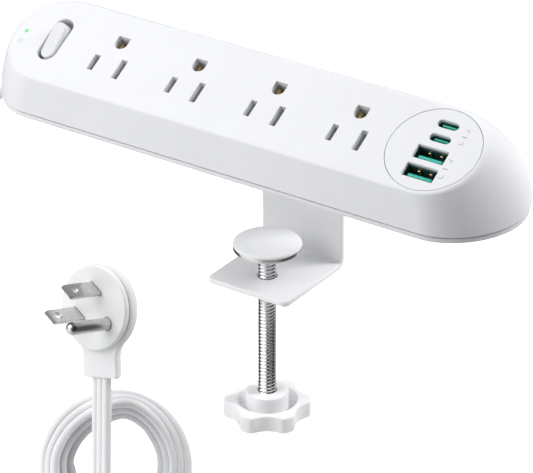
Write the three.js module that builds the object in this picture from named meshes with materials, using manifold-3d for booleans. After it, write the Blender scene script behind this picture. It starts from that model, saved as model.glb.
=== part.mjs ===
// Desk-edge power strip: four grounded outlets, a rocker switch, four USB ports, a screw clamp
// and a flat three-core cord with an offset plug. Millimetres, +Z up.
// Origin: centre of the base's underside. +X runs along the strip towards the USB end and +Y to the back.
import * as THREE from 'three';
import { mergeVertices } from 'three/addons/utils/BufferGeometryUtils.js';
import Module from 'manifold-3d';

const wasm = await Module();
wasm.setup();

// ---------------------------------------------------------------- driving dimensions
const degree = Math.PI / 180;
const gap = 0.3; // room left between neighbouring pieces

// housing
const faceTilt = 30 * degree;
const faceCentreY = -13.2;
const faceCentreZ = 29.6;
const faceHalfLength = 88.9; // centre of the face to the centre of each end arc
const faceRadius = 20.5;
const baseHalfLength = 93.5;
const baseEndReach = 26.7; // how far each end bulges beyond baseHalfLength
const baseHalfDepth = 30.95;
const endRoundness = 1.9; // 2 would be an ellipse
const domeShoulder = 1.95;
const domeLip = 1.19;
const wall = 2.4;
const seamZ = 2.5;
const seamGap = 0.4;
const seamTuck = 0.5; // the walls draw in this far at the seam
const trayFloor = 2.3;

// outlets, in the tilted face's own frame: x along the strip, y up the slope, z out of the face
const outletFirstX = -60.65;
const outletPitch = 37.8;
const outletCount = 4;
const bladeLineY = -5.22;
const bladeHalfSpan = 6.35;
const hotSlot = { width: 2.7, length: 7.6 };
const neutralSlot = { width: 2.8, length: 9.4 };
const groundHole = { width: 5.7, length: 6.1, offset: 11.9 };

// switch and light
const switchX = -89.55;
const switchRecess = { width: 8.5, length: 21 };
const switchCup = { width: 10.7, length: 23.2, top: -2.7, floor: -8.4, bottom: -15 };
const rocker = { width: 7.2, length: 17.5, top: 1.2, bottom: -3.4, hubRadius: 2.3 };
const rockerPivotDepth = 5;
const rockerRestTilt = 11 * degree; // back end up: switched on
const pivotRadius = 1;
const lightX = -104.15;
const lightRadius = 0.75;

// USB end
const plateRadius = 19;
const plateThickness = 1.5;
const plateLedgeRadius = 17;
const typeCPorts = [12, 5.3]; // y on the face
const typeAPorts = [-2.4, -11.1];
const typeC = { width: 9, height: 3.4, tongueWidth: 6.6, tongueHeight: 0.8 };
const typeA = { width: 13.4, height: 6, tongueWidth: 11.4, tongueHeight: 1.9 };
const portTop = -plateThickness - gap;
const portBottom = -14;
const portWall = 0.4;

// clamp
const bracketX = 2.5;
const bracketWidth = 39.2;
const bracketThickness = 2.5;
const bracketFrontY = -12.3;
const bracketBackY = 30.5;
const jawTopZ = -57.65;
const bendRadius = 4;
const bracketCorner = 3;
const bracketScrewSpread = 11;
const bracketScrewY = 6;
const screwY = 3.1;
const screwRadius = 3.75;
const padTopZ = -42.3;
const padRadius = 14;
const padFaceThickness = 1.2;
const padDiscThickness = 1.7;
const hubTopZ = -111.1;
const knobTopZ = -115.4;
const knobBottomZ = -123;
const knobTipRadius = 18.1;
const knobValleyRadius = 14.7;
const knobValleyHalfAngle = 20.5 * degree;
const knobLobes = 6;
const knobPhase = 34.3 * degree;
const knobRecessRadius = 12.4;
const knobWebThickness = 2.7;
const hubRadius = 8.75;

// cord and plug, gathered in a frame that looks forwards, sideways and up
const leadOrigin = new THREE.Vector3(31.7, -139, -65.1); // centre of the coil
const leadTurn = 34.3 * degree;
const leadElevation = 27.8 * degree;
const cord = { width: 8.4, thickness: 3.2 };
const coil = { outerRadius: 28.2, drawIn: 2.4, stepBack: 4, start: -45 * degree, end: 920 * degree };
// the coiled cord lies nearly flat, and tips on edge near the top and a little at the left of every turn
const coilLean = 8 * degree;
const coilDrop = { from: 200 * degree, to: 340 * degree }; // where a turn passes behind and inside the one before
const coilTips = [
  { at: 74 * degree, spread: 32 * degree, lean: 48 * degree },
  { at: 185 * degree, spread: 35 * degree, lean: 28 * degree },
];
const plugOrigin = new THREE.Vector3(-7.45, 58.6, 18); // centre of the plug's face
const plugPitch = 5.3 * degree;
const plugYaw = -38.2 * degree;
const plugRoll = 1.5 * degree;
const plugFaceRadius = 15.6;
const plugFaceThickness = 2.4;
const plugBodyRadius = 16.6;
const plugBodyBack = 8.2;
const plugBackRound = 4;
const plugNeckWidth = 16;
const plugNeckLength = 25.9;
const plugNeckFillet = 7;
const prongTurn = -41.3 * degree; // direction from the blades to the ground pin
const bladeLineOffset = 3.55;
const blade = { thickness: 1.5, width: 6.35, length: 16.7, holeRadius: 1.6, holeAt: 11.5 };
const groundPin = { radius: 2.4, length: 20.8 };
const prongRoot = 6; // how deep the prongs sit in the plug
const cordDepthInPlug = 5.2;
const cordOffsetInPlug = -1.1;

// cord outlet at the back
const grommetX = -85;
const grommetZ = 12;
const grommetSleeve = { width: 11.4, height: 6.2 };
const grommetFlange = { width: 14.6, height: 9.4 };

// ---------------------------------------------------------------- materials
const finish = (color, roughness, metalness = 0) => new THREE.MeshStandardMaterial({ color, roughness, metalness });
const whiteShell = finish(0xf3f4f8, 0.38);
const whiteSoft = finish(0xeceef2, 0.5);
const whitePaint = finish(0xe9eaee, 0.45, 0.1);
const greyCarrier = finish(0xb9bcc2, 0.6);
const brass = finish(0xc9a24b, 0.35, 1);
const steel = finish(0xb9bcc2, 0.25, 1);
const teal = finish(0x1fb79a, 0.35);
const boardGreen = finish(0x0f5a3c, 0.55);
const darkPlastic = finish(0x2b2d31, 0.5);
const rubber = finish(0x8d9096, 0.85);
const lightGreen = finish(0x59d97a, 0.3);
const varistorBlue = finish(0x2c57a8, 0.45);
const wireColours = { hot: finish(0x202124, 0.5), neutral: finish(0xf0f0f0, 0.5), ground: finish(0x2f9e4b, 0.5) };

// ---------------------------------------------------------------- geometry helpers
function toSolid(geometry) {
  const bare = geometry.clone();
  bare.deleteAttribute('normal');
  bare.deleteAttribute('uv');
  const merged = mergeVertices(bare, 1e-4);
  return new wasm.Manifold(new wasm.Mesh({
    numProp: 3,
    vertProperties: new Float32Array(merged.attributes.position.array),
    triVerts: new Uint32Array(merged.index.array),
  }));
}

function toGeometry(solid) {
  const mesh = solid.getMesh();
  const geometry = new THREE.BufferGeometry();
  geometry.setAttribute('position', new THREE.BufferAttribute(new Float32Array(mesh.vertProperties), 3));
  geometry.setIndex(new THREE.BufferAttribute(new Uint32Array(mesh.triVerts), 1));
  geometry.computeVertexNormals();
  return geometry;
}

function cut(body, tools) {
  return toGeometry(tools.reduce((solid, tool) => solid.subtract(toSolid(tool)), toSolid(body)));
}

function join(pieces) {
  return toGeometry(pieces.map(toSolid).reduce((solid, piece) => solid.add(piece)));
}

function common(a, b) {
  return toGeometry(toSolid(a).intersect(toSolid(b)));
}

function box(width, depth, height, x = 0, y = 0, z = 0) {
  return new THREE.BoxGeometry(width, depth, height).translate(x, y, z);
}

// upright cylinder from z = bottom to z = top
function post(radius, bottom, top, x = 0, y = 0, sides = 20) {
  const geometry = new THREE.CylinderGeometry(radius, radius, top - bottom, sides);
  return geometry.rotateX(Math.PI / 2).translate(x, y, (bottom + top) / 2);
}

// a shape in the XY plane, raised from z = bottom to z = top
function slab(shape, bottom, top, curveSegments = 5) {
  const geometry = new THREE.ExtrudeGeometry(shape, { depth: top - bottom, bevelEnabled: false, curveSegments });
  return geometry.translate(0, 0, bottom);
}

// a turned piece about Z: profile points are [radius, z]
function turned(profile, sides = 24) {
  const points = profile.map(([radius, z]) => new THREE.Vector2(radius, z));
  return new THREE.LatheGeometry([...points, points[0].clone()], sides).rotateX(Math.PI / 2);
}

function roundedRectangle(width, height, radius, x = 0, y = 0) {
  const right = x + width / 2;
  const top = y + height / 2;
  const left = right - width;
  const bottom = top - height;
  const shape = new THREE.Shape();
  shape.moveTo(left + radius, bottom);
  shape.lineTo(right - radius, bottom);
  shape.absarc(right - radius, bottom + radius, radius, -Math.PI / 2, 0);
  shape.lineTo(right, top - radius);
  shape.absarc(right - radius, top - radius, radius, 0, Math.PI / 2);
  shape.lineTo(left + radius, top);
  shape.absarc(left + radius, top - radius, radius, Math.PI / 2, Math.PI);
  shape.lineTo(left, bottom + radius);
  shape.absarc(left + radius, bottom + radius, radius, Math.PI, 1.5 * Math.PI);
  return shape;
}

// a rectangle whose ends are half circles
const stadium = (width, height, x = 0, y = 0) => {
  return roundedRectangle(width, height, Math.min(width, height) / 2 - 1e-3, x, y);
};

// a closed skin over a stack of rings that all have the same number of points, bottom ring first
function loft(rings) {
  const count = rings[0].length;
  const centre = (ring) => ring.reduce((sum, p) => sum.add(p), new THREE.Vector3()).divideScalar(count);
  const points = [...rings.flat(), centre(rings[0]), centre(rings.at(-1))];
  const bottomCentre = points.length - 2;
  const topCentre = points.length - 1;
  const topStart = (rings.length - 1) * count;
  const index = [];
  for (let i = 0; i < count; i += 1) {
    const next = (i + 1) % count;
    index.push(bottomCentre, next, i, topCentre, topStart + i, topStart + next);
    for (let ring = 0; ring < rings.length - 1; ring += 1) {
      const low = ring * count;
      const high = low + count;
      index.push(low + i, low + next, high + next, low + i, high + next, high + i);
    }
  }
  const geometry = new THREE.BufferGeometry().setFromPoints(points);
  geometry.setIndex(index);
  geometry.computeVertexNormals();
  return geometry;
}

// ---------------------------------------------------------------- scene graph
const strip = new THREE.Group();
strip.name = 'desk_power_strip';

const face = new THREE.Group(); // the tilted top face
face.position.set(0, faceCentreY, faceCentreZ);
face.rotation.x = faceTilt;

const lead = new THREE.Group();
lead.rotation.order = 'ZXY';
lead.rotation.set(Math.PI / 2 - leadElevation, 0, leadTurn);
lead.position.copy(leadOrigin);

const plug = new THREE.Group();
plug.rotation.set(plugPitch, plugYaw, plugRoll);
plug.position.copy(plugOrigin);

strip.add(face, lead);
lead.add(plug);
strip.updateMatrixWorld(true);

const onFace = (geometry) => geometry.applyMatrix4(face.matrixWorld);

function place(name, geometry, material, parent = strip) {
  const mesh = new THREE.Mesh(geometry, material);
  mesh.name = name;
  parent.add(mesh);
  return mesh;
}

// ---------------------------------------------------------------- housing
// One ring of the housing: rise is 0 at the seam and 1 at the rim of the face.
function housingRing(rise, inset, arcSteps = 14) {
  const inwards = 1 - (1 - rise ** domeShoulder) ** (1 / domeLip);
  const ring = [];
  for (const end of [1, -1]) {
    for (let i = 0; i <= arcSteps; i += 1) {
      const angle = (i / arcSteps - 0.5) * Math.PI;
      const cos = Math.max(Math.cos(angle), 0) * end;
      const sin = Math.sin(angle) * end;
      const power = 2 / endRoundness;
      const base = new THREE.Vector3(
        end * baseHalfLength + (baseEndReach - inset) * Math.sign(cos) * Math.abs(cos) ** power,
        (baseHalfDepth - inset) * Math.sign(sin) * Math.abs(sin) ** power,
        seamZ,
      );
      const rim = new THREE.Vector3(
        end * faceHalfLength + (faceRadius - inset) * cos,
        (faceRadius - inset) * sin,
        -inset,
      ).applyMatrix4(face.matrixWorld);
      ring.push(new THREE.Vector3(
        THREE.MathUtils.lerp(base.x, rim.x, inwards),
        THREE.MathUtils.lerp(base.y, rim.y, inwards),
        THREE.MathUtils.lerp(base.z, rim.z, rise),
      ));
    }
  }
  return ring;
}

const atHeight = (ring, z) => ring.map((p) => new THREE.Vector3(p.x, p.y, z));
const rises = [0.12, 0.3, 0.5, 0.68, 0.82, 0.93, 1];

function housingOutside() {
  const edge = atHeight(housingRing(0, seamTuck), seamZ + seamGap / 2);
  return loft([edge, ...rises.map((rise) => housingRing(rise, 0))]);
}

function housingInside() {
  const arcSteps = 9;
  const mouth = atHeight(housingRing(0, wall, arcSteps), -1);
  return loft([mouth, ...[0, 0.35, 0.65, 0.88, 1].map((rise) => housingRing(rise, wall, arcSteps))]);
}

const bossPlaces = [[-106, 2], [106, 2], [-45, 22], [45, 22]];
const bossBottom = trayFloor + gap;
const boss = { radius: 3.2, pilot: 1.5, pilotDepth: 11 };

const outletX = Array.from({ length: outletCount }, (_, i) => outletFirstX + i * outletPitch);

// D-shaped hole: round towards the blades, flat at the back
function groundShape(x, growth = 0) {
  const radius = groundHole.width / 2 + growth;
  const y = bladeLineY + groundHole.offset;
  const shape = new THREE.Shape();
  shape.absarc(x, y, radius, Math.PI, 2 * Math.PI);
  shape.lineTo(x + radius, y + groundHole.length / 2 + growth);
  shape.lineTo(x - radius, y + groundHole.length / 2 + growth);
  return shape;
}

function outletTools(x, bottom, top) {
  const height = top - bottom;
  const middle = (top + bottom) / 2;
  return [
    box(hotSlot.width, hotSlot.length, height, x - bladeHalfSpan, bladeLineY, middle),
    box(neutralSlot.width, neutralSlot.length, height, x + bladeHalfSpan, bladeLineY, middle),
    slab(groundShape(x), bottom, top),
  ];
}

function topHousing() {
  const outside = housingOutside();
  const shell = cut(outside, [housingInside()]);
  const bosses = bossPlaces.map(([x, y]) => common(post(boss.radius, bossBottom, 60, x, y, 16), outside));
  const pilots = bossPlaces.map(([x, y]) => post(boss.pilot, 0, bossBottom + boss.pilotDepth, x, y, 12));
  const facePlane = [
    ...outletX.flatMap((x) => outletTools(x, -wall - 1, 1)),
    slab(stadium(switchRecess.width, switchRecess.length, switchX, 0), -wall - 1, 1),
    post(lightRadius + gap, -wall - 1, 1, lightX, 0, 16),
    post(plateLedgeRadius, -wall - 1, 1, faceHalfLength, 0, 36),
    post(plateRadius + gap, -plateThickness - gap, 1, faceHalfLength, 0, 48),
  ].map(onFace);
  const cordHoleShape = stadium(
    grommetSleeve.width + 2 * gap, grommetSleeve.height + 2 * gap, grommetX, -grommetZ,
  );
  const cordHole = slab(cordHoleShape, 15, 40).rotateX(-Math.PI / 2);
  return cut(join([shell, ...bosses]), [...pilots, ...facePlane, cordHole]);
}

function baseTray() {
  const foot = housingRing(0, seamTuck + 0.9);
  const skirt = housingRing(0, seamTuck);
  const plate = loft([atHeight(foot, 0), atHeight(skirt, 0.9), atHeight(skirt, seamZ - seamGap / 2)]);
  const anchors = [-1, 1].map((side) => post(4.5, 1, 10, bracketX + side * bracketScrewSpread, bracketScrewY));
  const anchorHoles = [-1, 1].map((side) => {
    return post(1.9, -1, 9, bracketX + side * bracketScrewSpread, bracketScrewY, 12);
  });
  const screwHoles = bossPlaces.flatMap(([x, y]) => [post(1.8, -1, 4, x, y, 12), post(3.4, -1, 1.5, x, y, 16)]);
  return cut(join([plate, ...anchors]), [...anchorHoles, ...screwHoles]);
}

// pan head screw that points up, with its head's underside at z = seat
function upwardScrew(x, y, seat, shankRadius, shankLength, headRadius, headHeight) {
  const profile = [
    [0, seat - headHeight],
    [headRadius * 0.8, seat - headHeight],
    [headRadius, seat - headHeight * 0.6],
    [headRadius, seat],
    [shankRadius, seat],
    [shankRadius, seat + shankLength - 1],
    [0, seat + shankLength],
  ];
  return turned(profile, 12).translate(x, y, 0);
}

place('top_housing', topHousing(), whiteShell);
place('base_tray', baseTray(), whiteSoft);
bossPlaces.forEach(([x, y], i) => {
  place(`housing_screw_${i + 1}`, upwardScrew(x, y, 1.5, 1.2, 10, 3, 1.2), steel);
});
for (const [name, x] of [['base_pad_left', -66], ['base_pad_right', 70]]) {
  place(name, slab(roundedRectangle(38, 34, 4, x, 0), -bracketThickness, 0, 4), rubber);
}

// ---------------------------------------------------------------- outlets
const carrier = { top: -wall - gap, bottom: -14.7, front: -14.2, back: 12, left: -73, right: 65 };
const clipPocket = { top: -5.5, hot: [5, 9], neutral: [5, 10.8], ground: [8.6, 8] };
const railZ = carrier.bottom - gap - 0.4;
const railThickness = 0.8;

function outletCarrier() {
  const width = carrier.right - carrier.left;
  const depth = carrier.back - carrier.front;
  const height = carrier.top - carrier.bottom;
  const block = box(
    width, depth, height,
    (carrier.left + carrier.right) / 2, (carrier.front + carrier.back) / 2, (carrier.top + carrier.bottom) / 2,
  );
  const pocketHeight = clipPocket.top - carrier.bottom + 1;
  const pocketZ = clipPocket.top - pocketHeight / 2;
  const groundY = bladeLineY + groundHole.offset;
  const tools = outletX.flatMap((x) => [
    ...outletTools(x, clipPocket.top - 1, carrier.top + 1),
    box(...clipPocket.hot, pocketHeight, x - bladeHalfSpan, bladeLineY, pocketZ),
    box(...clipPocket.neutral, pocketHeight, x + bladeHalfSpan, bladeLineY, pocketZ),
    box(...clipPocket.ground, pocketHeight, x, groundY, pocketZ),
  ]);
  return cut(block, tools);
}

// A bus bar under the carrier: a long rail with a foot and two spring leaves at every outlet.
function busBar(railY, clipOffsetX, clipY, leafGap, leafLength) {
  const leaf = { thickness: 0.6, height: 7.5 };
  const footSpan = Math.abs(railY - clipY) + leafLength / 2;
  const footY = railY > clipY ? railY - footSpan / 2 : railY + footSpan / 2;
  const pieces = [box(3 * outletPitch + 14, 2.4, railThickness, outletX[0] + 1.5 * outletPitch, railY, railZ)];
  for (const x of outletX.map((centre) => centre + clipOffsetX)) {
    const leafX = leafGap / 2 + leaf.thickness / 2;
    pieces.push(box(leafGap + 2 * leaf.thickness, footSpan, railThickness, x, footY, railZ));
    for (const side of [-1, 1]) {
      pieces.push(box(leaf.thickness, leafLength, leaf.height, x + side * leafX, clipY, railZ + leaf.height / 2));
    }
  }
  return join(pieces);
}

place('outlet_carrier', outletCarrier(), greyCarrier, face);
place('hot_bus_bar', busBar(-12.4, -bladeHalfSpan, bladeLineY, 2.8, 6), brass, face);
place('neutral_bus_bar', busBar(1.6, bladeHalfSpan, bladeLineY, 2.9, 7), brass, face);
place('ground_bus_bar', busBar(12.6, 0, bladeLineY + groundHole.offset, 5.8, 5), brass, face);

// ---------------------------------------------------------------- switch and light
function switchBody() {
  const cup = slab(stadium(switchCup.width, switchCup.length), switchCup.bottom, switchCup.top);
  const hollow = slab(stadium(switchRecess.width, switchRecess.length), switchCup.floor, 0);
  const pinHole = post(pivotRadius + gap, -10, 10, 0, 0, 16).rotateY(Math.PI / 2).translate(0, 0, -rockerPivotDepth);
  return cut(cup, [hollow, pinHole]).translate(switchX, 0, 0);
}

// modelled about its own pivot
function rockerButton() {
  const button = slab(stadium(rocker.width, rocker.length), rocker.bottom, rocker.top)
    .translate(0, 0, rockerPivotDepth);
  const hub = post(rocker.hubRadius, -rocker.width / 2, rocker.width / 2, 0, 0, 20).rotateY(Math.PI / 2);
  const bore = post(pivotRadius + gap, -10, 10, 0, 0, 16).rotateY(Math.PI / 2);
  return cut(join([button, hub]), [bore]);
}

place('switch_body', switchBody(), whiteSoft, face);
const pivotPin = place('rocker_pivot_pin', post(pivotRadius, -5.2, 5.2, 0, 0, 16).rotateY(Math.PI / 2), steel, face);
pivotPin.position.set(switchX, 0, -rockerPivotDepth);
const rockerMesh = place('rocker_button', rockerButton(), whiteShell, face);
rockerMesh.position.set(switchX, 0, -rockerPivotDepth);
rockerMesh.rotation.x = rockerRestTilt;
place('light_pipe', post(lightRadius, -5, 0.15, lightX, 0, 16), lightGreen, face);

// ---------------------------------------------------------------- USB end
const portShape = (port, y, growth = 0) => {
  const width = port.width + 2 * growth;
  const height = port.height + 2 * growth;
  const round = port === typeC ? height / 2 - 1e-3 : 0.5 + growth;
  return roundedRectangle(width, height, round, 0, y);
};

function usbFaceplate() {
  const openings = [
    ...typeCPorts.map((y) => portShape(typeC, y)),
    ...typeAPorts.map((y) => portShape(typeA, y)),
  ].map((shape) => slab(shape, -plateThickness - 1, 1, 4));
  return cut(post(plateRadius, -plateThickness, 0, 0, 0, 48), openings).translate(faceHalfLength, 0, 0);
}

function portShell(port, y) {
  const outside = slab(portShape(port, y), portBottom, portTop, 3);
  const inside = slab(portShape(port, y, -portWall), portBottom + 1, 0, 3);
  return cut(outside, [inside]).translate(faceHalfLength, 0, 0);
}

function portTongue(port, y, top) {
  const bottom = portBottom + 1 + gap;
  const geometry = box(port.tongueWidth, port.tongueHeight, top - bottom, 0, y, (top + bottom) / 2);
  return geometry.translate(faceHalfLength, 0, 0);
}

place('usb_faceplate', usbFaceplate(), whiteShell, face);
typeCPorts.forEach((y, i) => {
  place(`usb_c_shell_${i + 1}`, portShell(typeC, y), steel, face);
  place(`usb_c_tongue_${i + 1}`, portTongue(typeC, y, portTop - 0.6), teal, face);
});
typeAPorts.forEach((y, i) => {
  const tongueY = y - typeA.height / 2 + portWall + gap + typeA.tongueHeight / 2;
  place(`usb_a_shell_${i + 1}`, portShell(typeA, y), steel, face);
  place(`usb_a_tongue_${i + 1}`, portTongue(typeA, tongueY, portTop - 0.4), teal, face);
});
place('usb_board', box(27, 33, 1.2, faceHalfLength, 0, portBottom - gap - 0.6), boardGreen, face);

// charger electronics on a flat board above the tray
const boardZ = 4.6;
const boardTop = boardZ + 1.6;
place('power_board', box(38, 38, 1.6, 81.5, 5, boardZ + 0.8), boardGreen);
place('transformer', box(16, 13, 12, 85, 15, boardTop + gap + 6), darkPlastic);
place('capacitor', post(5, boardTop + gap, boardTop + 14, 69, 15), darkPlastic);
const varistor = post(4.5, -1.6, 1.6, 0, 0, 20).rotateX(Math.PI / 2);
place('surge_varistor', varistor.translate(70, -2, boardTop + gap + 4.5), varistorBlue);

// ---------------------------------------------------------------- clamp
// the bracket's side view: shape x is the part's y, shape y is the part's z
function bracketShape() {
  const thick = bracketThickness;
  const innerRadius = bendRadius - thick;
  const back = bracketBackY;
  const low = jawTopZ - thick;
  const shape = new THREE.Shape();
  shape.moveTo(bracketFrontY, 0);
  shape.lineTo(bracketFrontY, -thick);
  shape.lineTo(back - bendRadius, -thick);
  shape.absarc(back - bendRadius, -bendRadius, innerRadius, Math.PI / 2, 0, true);
  shape.lineTo(back - thick, low + bendRadius);
  shape.absarc(back - bendRadius, low + bendRadius, innerRadius, 0, -Math.PI / 2, true);
  shape.lineTo(bracketFrontY, jawTopZ);
  shape.lineTo(bracketFrontY, low);
  shape.lineTo(back - bendRadius, low);
  shape.absarc(back - bendRadius, low + bendRadius, bendRadius, -Math.PI / 2, 0, false);
  shape.lineTo(back, -bendRadius);
  shape.absarc(back - bendRadius, -bendRadius, bendRadius, 0, Math.PI / 2, false);
  return shape;
}

function clampBracket() {
  const sideways = new THREE.Matrix4().makeBasis(
    new THREE.Vector3(0, 1, 0), new THREE.Vector3(0, 0, 1), new THREE.Vector3(1, 0, 0),
  );
  const bent = slab(bracketShape(), -bracketWidth / 2, bracketWidth / 2, 6).applyMatrix4(sideways);
  const depth = bracketBackY - bracketFrontY + bracketCorner;
  const plan = roundedRectangle(bracketWidth, depth, bracketCorner, 0, bracketFrontY + depth / 2);
  const trimmed = common(bent, slab(plan, jawTopZ - 10, 10, 5));
  const screwHole = post(screwRadius + gap, jawTopZ - 10, jawTopZ + 5, 0, screwY, 28);
  const holes = [-1, 1].flatMap((side) => [
    post(2.3, -10, 5, side * bracketScrewSpread, bracketScrewY, 16),
    post(4.1, -10, -1.2, side * bracketScrewSpread, bracketScrewY, 20),
  ]);
  return cut(trimmed, [screwHole, ...holes]).translate(bracketX, 0, 0);
}

place('clamp_bracket', clampBracket(), whitePaint);
for (const [name, side] of [['bracket_screw_left', -1], ['bracket_screw_right', 1]]) {
  const x = bracketX + side * bracketScrewSpread;
  place(name, upwardScrew(x, bracketScrewY, -1.2, 1.6, 9, 3.7, 1.7), steel);
}

const discTop = padTopZ - padFaceThickness;
const discBottom = discTop - padDiscThickness;
const rivet = { radius: 3.5, seat: discTop - 0.9, top: discTop - 0.25, neck: 2.3 };

// The screw's peened end turns in the disc's countersink, under the pad's white cap.
function padDisc() {
  const profile = [
    [rivet.neck + gap, discBottom],
    [padRadius - 0.3, discBottom],
    [padRadius, discBottom + 0.3],
    [padRadius, discTop],
    [rivet.radius + gap, discTop],
    [rivet.radius + gap, rivet.seat - gap],
    [rivet.neck + gap, rivet.seat - gap],
  ];
  return turned(profile, 32);
}

function padFace() {
  const profile = [
    [0, discTop],
    [padRadius, discTop],
    [padRadius, padTopZ - 0.7],
    [padRadius - 0.7, padTopZ],
    [0, padTopZ],
  ];
  return turned(profile, 32);
}

function clampScrew() {
  const profile = [
    [0, knobTopZ - 4],
    [screwRadius, knobTopZ - 4],
    [screwRadius, discBottom - gap],
    [rivet.neck, discBottom - gap],
    [rivet.neck, rivet.seat],
    [rivet.radius, rivet.seat],
    [rivet.radius, rivet.top],
    [0, rivet.top],
  ];
  return turned(profile);
}

// six flat-tipped lobes with a concave scallop between each pair
function knobShape() {
  const edgeX = knobTipRadius * Math.cos(knobValleyHalfAngle);
  const edgeY = knobTipRadius * Math.sin(knobValleyHalfAngle);
  // circle through the valley's lowest point and both of its edges
  const scallopX = (edgeX ** 2 + edgeY ** 2 - knobValleyRadius ** 2) / (2 * (edgeX - knobValleyRadius));
  const scallopRadius = scallopX - knobValleyRadius;
  const sweep = Math.atan2(edgeY, scallopX - edgeX);
  const pitch = (2 * Math.PI) / knobLobes;
  const shape = new THREE.Shape();
  for (let lobe = 0; lobe < knobLobes; lobe += 1) {
    const tip = knobPhase + lobe * pitch;
    const valley = tip + pitch / 2;
    const half = pitch / 2 - knobValleyHalfAngle;
    const centre = new THREE.Vector2(Math.cos(valley), Math.sin(valley)).multiplyScalar(scallopX);
    shape.absarc(0, 0, knobTipRadius, tip - half, tip + half);
    shape.absarc(centre.x, centre.y, scallopRadius, valley + Math.PI + sweep, valley + Math.PI - sweep, true);
  }
  return shape;
}

function clampKnob() {
  const floor = knobBottomZ + knobWebThickness;
  const ring = cut(slab(knobShape(), knobBottomZ, knobTopZ, 5), [post(knobRecessRadius, floor, 0, 0, 0, 40)]);
  const hub = post(hubRadius, knobBottomZ + 1, hubTopZ, 0, 0, 32);
  return cut(join([ring, hub]), [post(screwRadius + gap, knobTopZ - 4 - gap, 0, 0, 0, 28)]);
}

const onScrewAxis = (mesh) => mesh.position.set(bracketX, screwY, 0);
onScrewAxis(place('pad_disc', padDisc(), steel));
onScrewAxis(place('pad_face', padFace(), whiteShell));
onScrewAxis(place('clamp_screw', clampScrew(), steel));
onScrewAxis(place('clamp_knob', clampKnob(), whiteShell));

// ---------------------------------------------------------------- plug
// The plug's frame: +Z out of its face and -Y along its neck.
function plugBodyShape() {
  // the neck's sides meet the round body in concave fillets
  const half = plugNeckWidth / 2;
  const filletX = half + plugNeckFillet;
  const filletY = -Math.sqrt((plugBodyRadius + plugNeckFillet) ** 2 - filletX ** 2);
  const meet = Math.atan2(filletY, filletX);
  const shape = new THREE.Shape();
  shape.absarc(0, 0, plugBodyRadius, meet, Math.PI - meet, false);
  shape.absarc(-filletX, filletY, plugNeckFillet, -meet, 0, true);
  shape.lineTo(-half, -plugNeckLength);
  shape.lineTo(half, -plugNeckLength);
  shape.absarc(filletX, filletY, plugNeckFillet, Math.PI, Math.PI + meet, true);
  return shape;
}

const acrossBlades = new THREE.Vector2(Math.sin(prongTurn), -Math.cos(prongTurn));
const towardsGround = new THREE.Vector2(Math.cos(prongTurn), Math.sin(prongTurn));

function prongPlace(side) {
  const centre = towardsGround.clone().multiplyScalar(-bladeLineOffset);
  return centre.addScaledVector(acrossBlades, side * bladeHalfSpan);
}

const groundPlace = towardsGround.clone().multiplyScalar(groundHole.offset - bladeLineOffset);

function bladeBox(side, growth, bottom, top) {
  const centre = prongPlace(side);
  const geometry = box(blade.width + 2 * growth, blade.thickness + 2 * growth, top - bottom);
  return geometry.rotateZ(prongTurn).translate(centre.x, centre.y, (bottom + top) / 2);
}

function prongTools(bottom, top) {
  return [
    bladeBox(-1, gap, bottom, top),
    bladeBox(1, gap, bottom, top),
    post(groundPin.radius + gap, bottom, top, groundPlace.x, groundPlace.y, 20),
  ];
}

function plugBlade(side) {
  const centre = prongPlace(side);
  const outline = new THREE.Shape();
  const half = blade.width / 2;
  outline.moveTo(-half, -prongRoot);
  outline.lineTo(half, -prongRoot);
  outline.lineTo(half, blade.length - 1.6);
  outline.lineTo(half - 1.3, blade.length);
  outline.lineTo(1.3 - half, blade.length);
  outline.lineTo(-half, blade.length - 1.6);
  const hole = new THREE.Path();
  hole.absarc(0, blade.holeAt, blade.holeRadius, 0, 2 * Math.PI, true);
  outline.holes.push(hole);
  const flat = slab(outline, -blade.thickness / 2, blade.thickness / 2, 8);
  return flat.rotateX(Math.PI / 2).rotateZ(prongTurn).translate(centre.x, centre.y, 0);
}

function plugGroundPin() {
  const { radius, length } = groundPin;
  const profile = [[0, -prongRoot], [radius, -prongRoot], [radius, length - radius]];
  for (const angle of [30, 60]) {
    const bend = angle * degree;
    profile.push([radius * Math.cos(bend), length - radius + radius * Math.sin(bend)]);
  }
  profile.push([0, length]);
  return turned(profile, 20).translate(groundPlace.x, groundPlace.y, 0);
}

// flat at the front, rounded at the back
function plugBody() {
  const round = plugBackRound;
  const rounded = new THREE.ExtrudeGeometry(plugBodyShape(), {
    depth: plugBodyBack,
    bevelThickness: round,
    bevelSize: round,
    bevelOffset: -round,
    bevelSegments: 3,
    curveSegments: 8,
  }).translate(0, 0, round - plugBodyBack);
  const behindFace = box(60, 80, 20, 0, 0, -plugFaceThickness - gap - 10);
  const pocketZ = -cordDepthInPlug;
  const pocket = box(
    cord.width + 2 * gap, 12, cord.thickness + 2 * gap, cordOffsetInPlug, -plugNeckLength, pocketZ,
  );
  return cut(common(rounded, behindFace), [...prongTools(-prongRoot - gap, 1), pocket]);
}

place('plug_body', plugBody(), whiteSoft, plug);
place('plug_face', cut(post(plugFaceRadius, -plugFaceThickness, 0, 0, 0, 36), prongTools(-10, 1)), whiteSoft, plug);
place('plug_blade_hot', plugBlade(-1), steel, plug);
place('plug_blade_neutral', plugBlade(1), steel, plug);
place('plug_ground_pin', plugGroundPin(), steel, plug);

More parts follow.
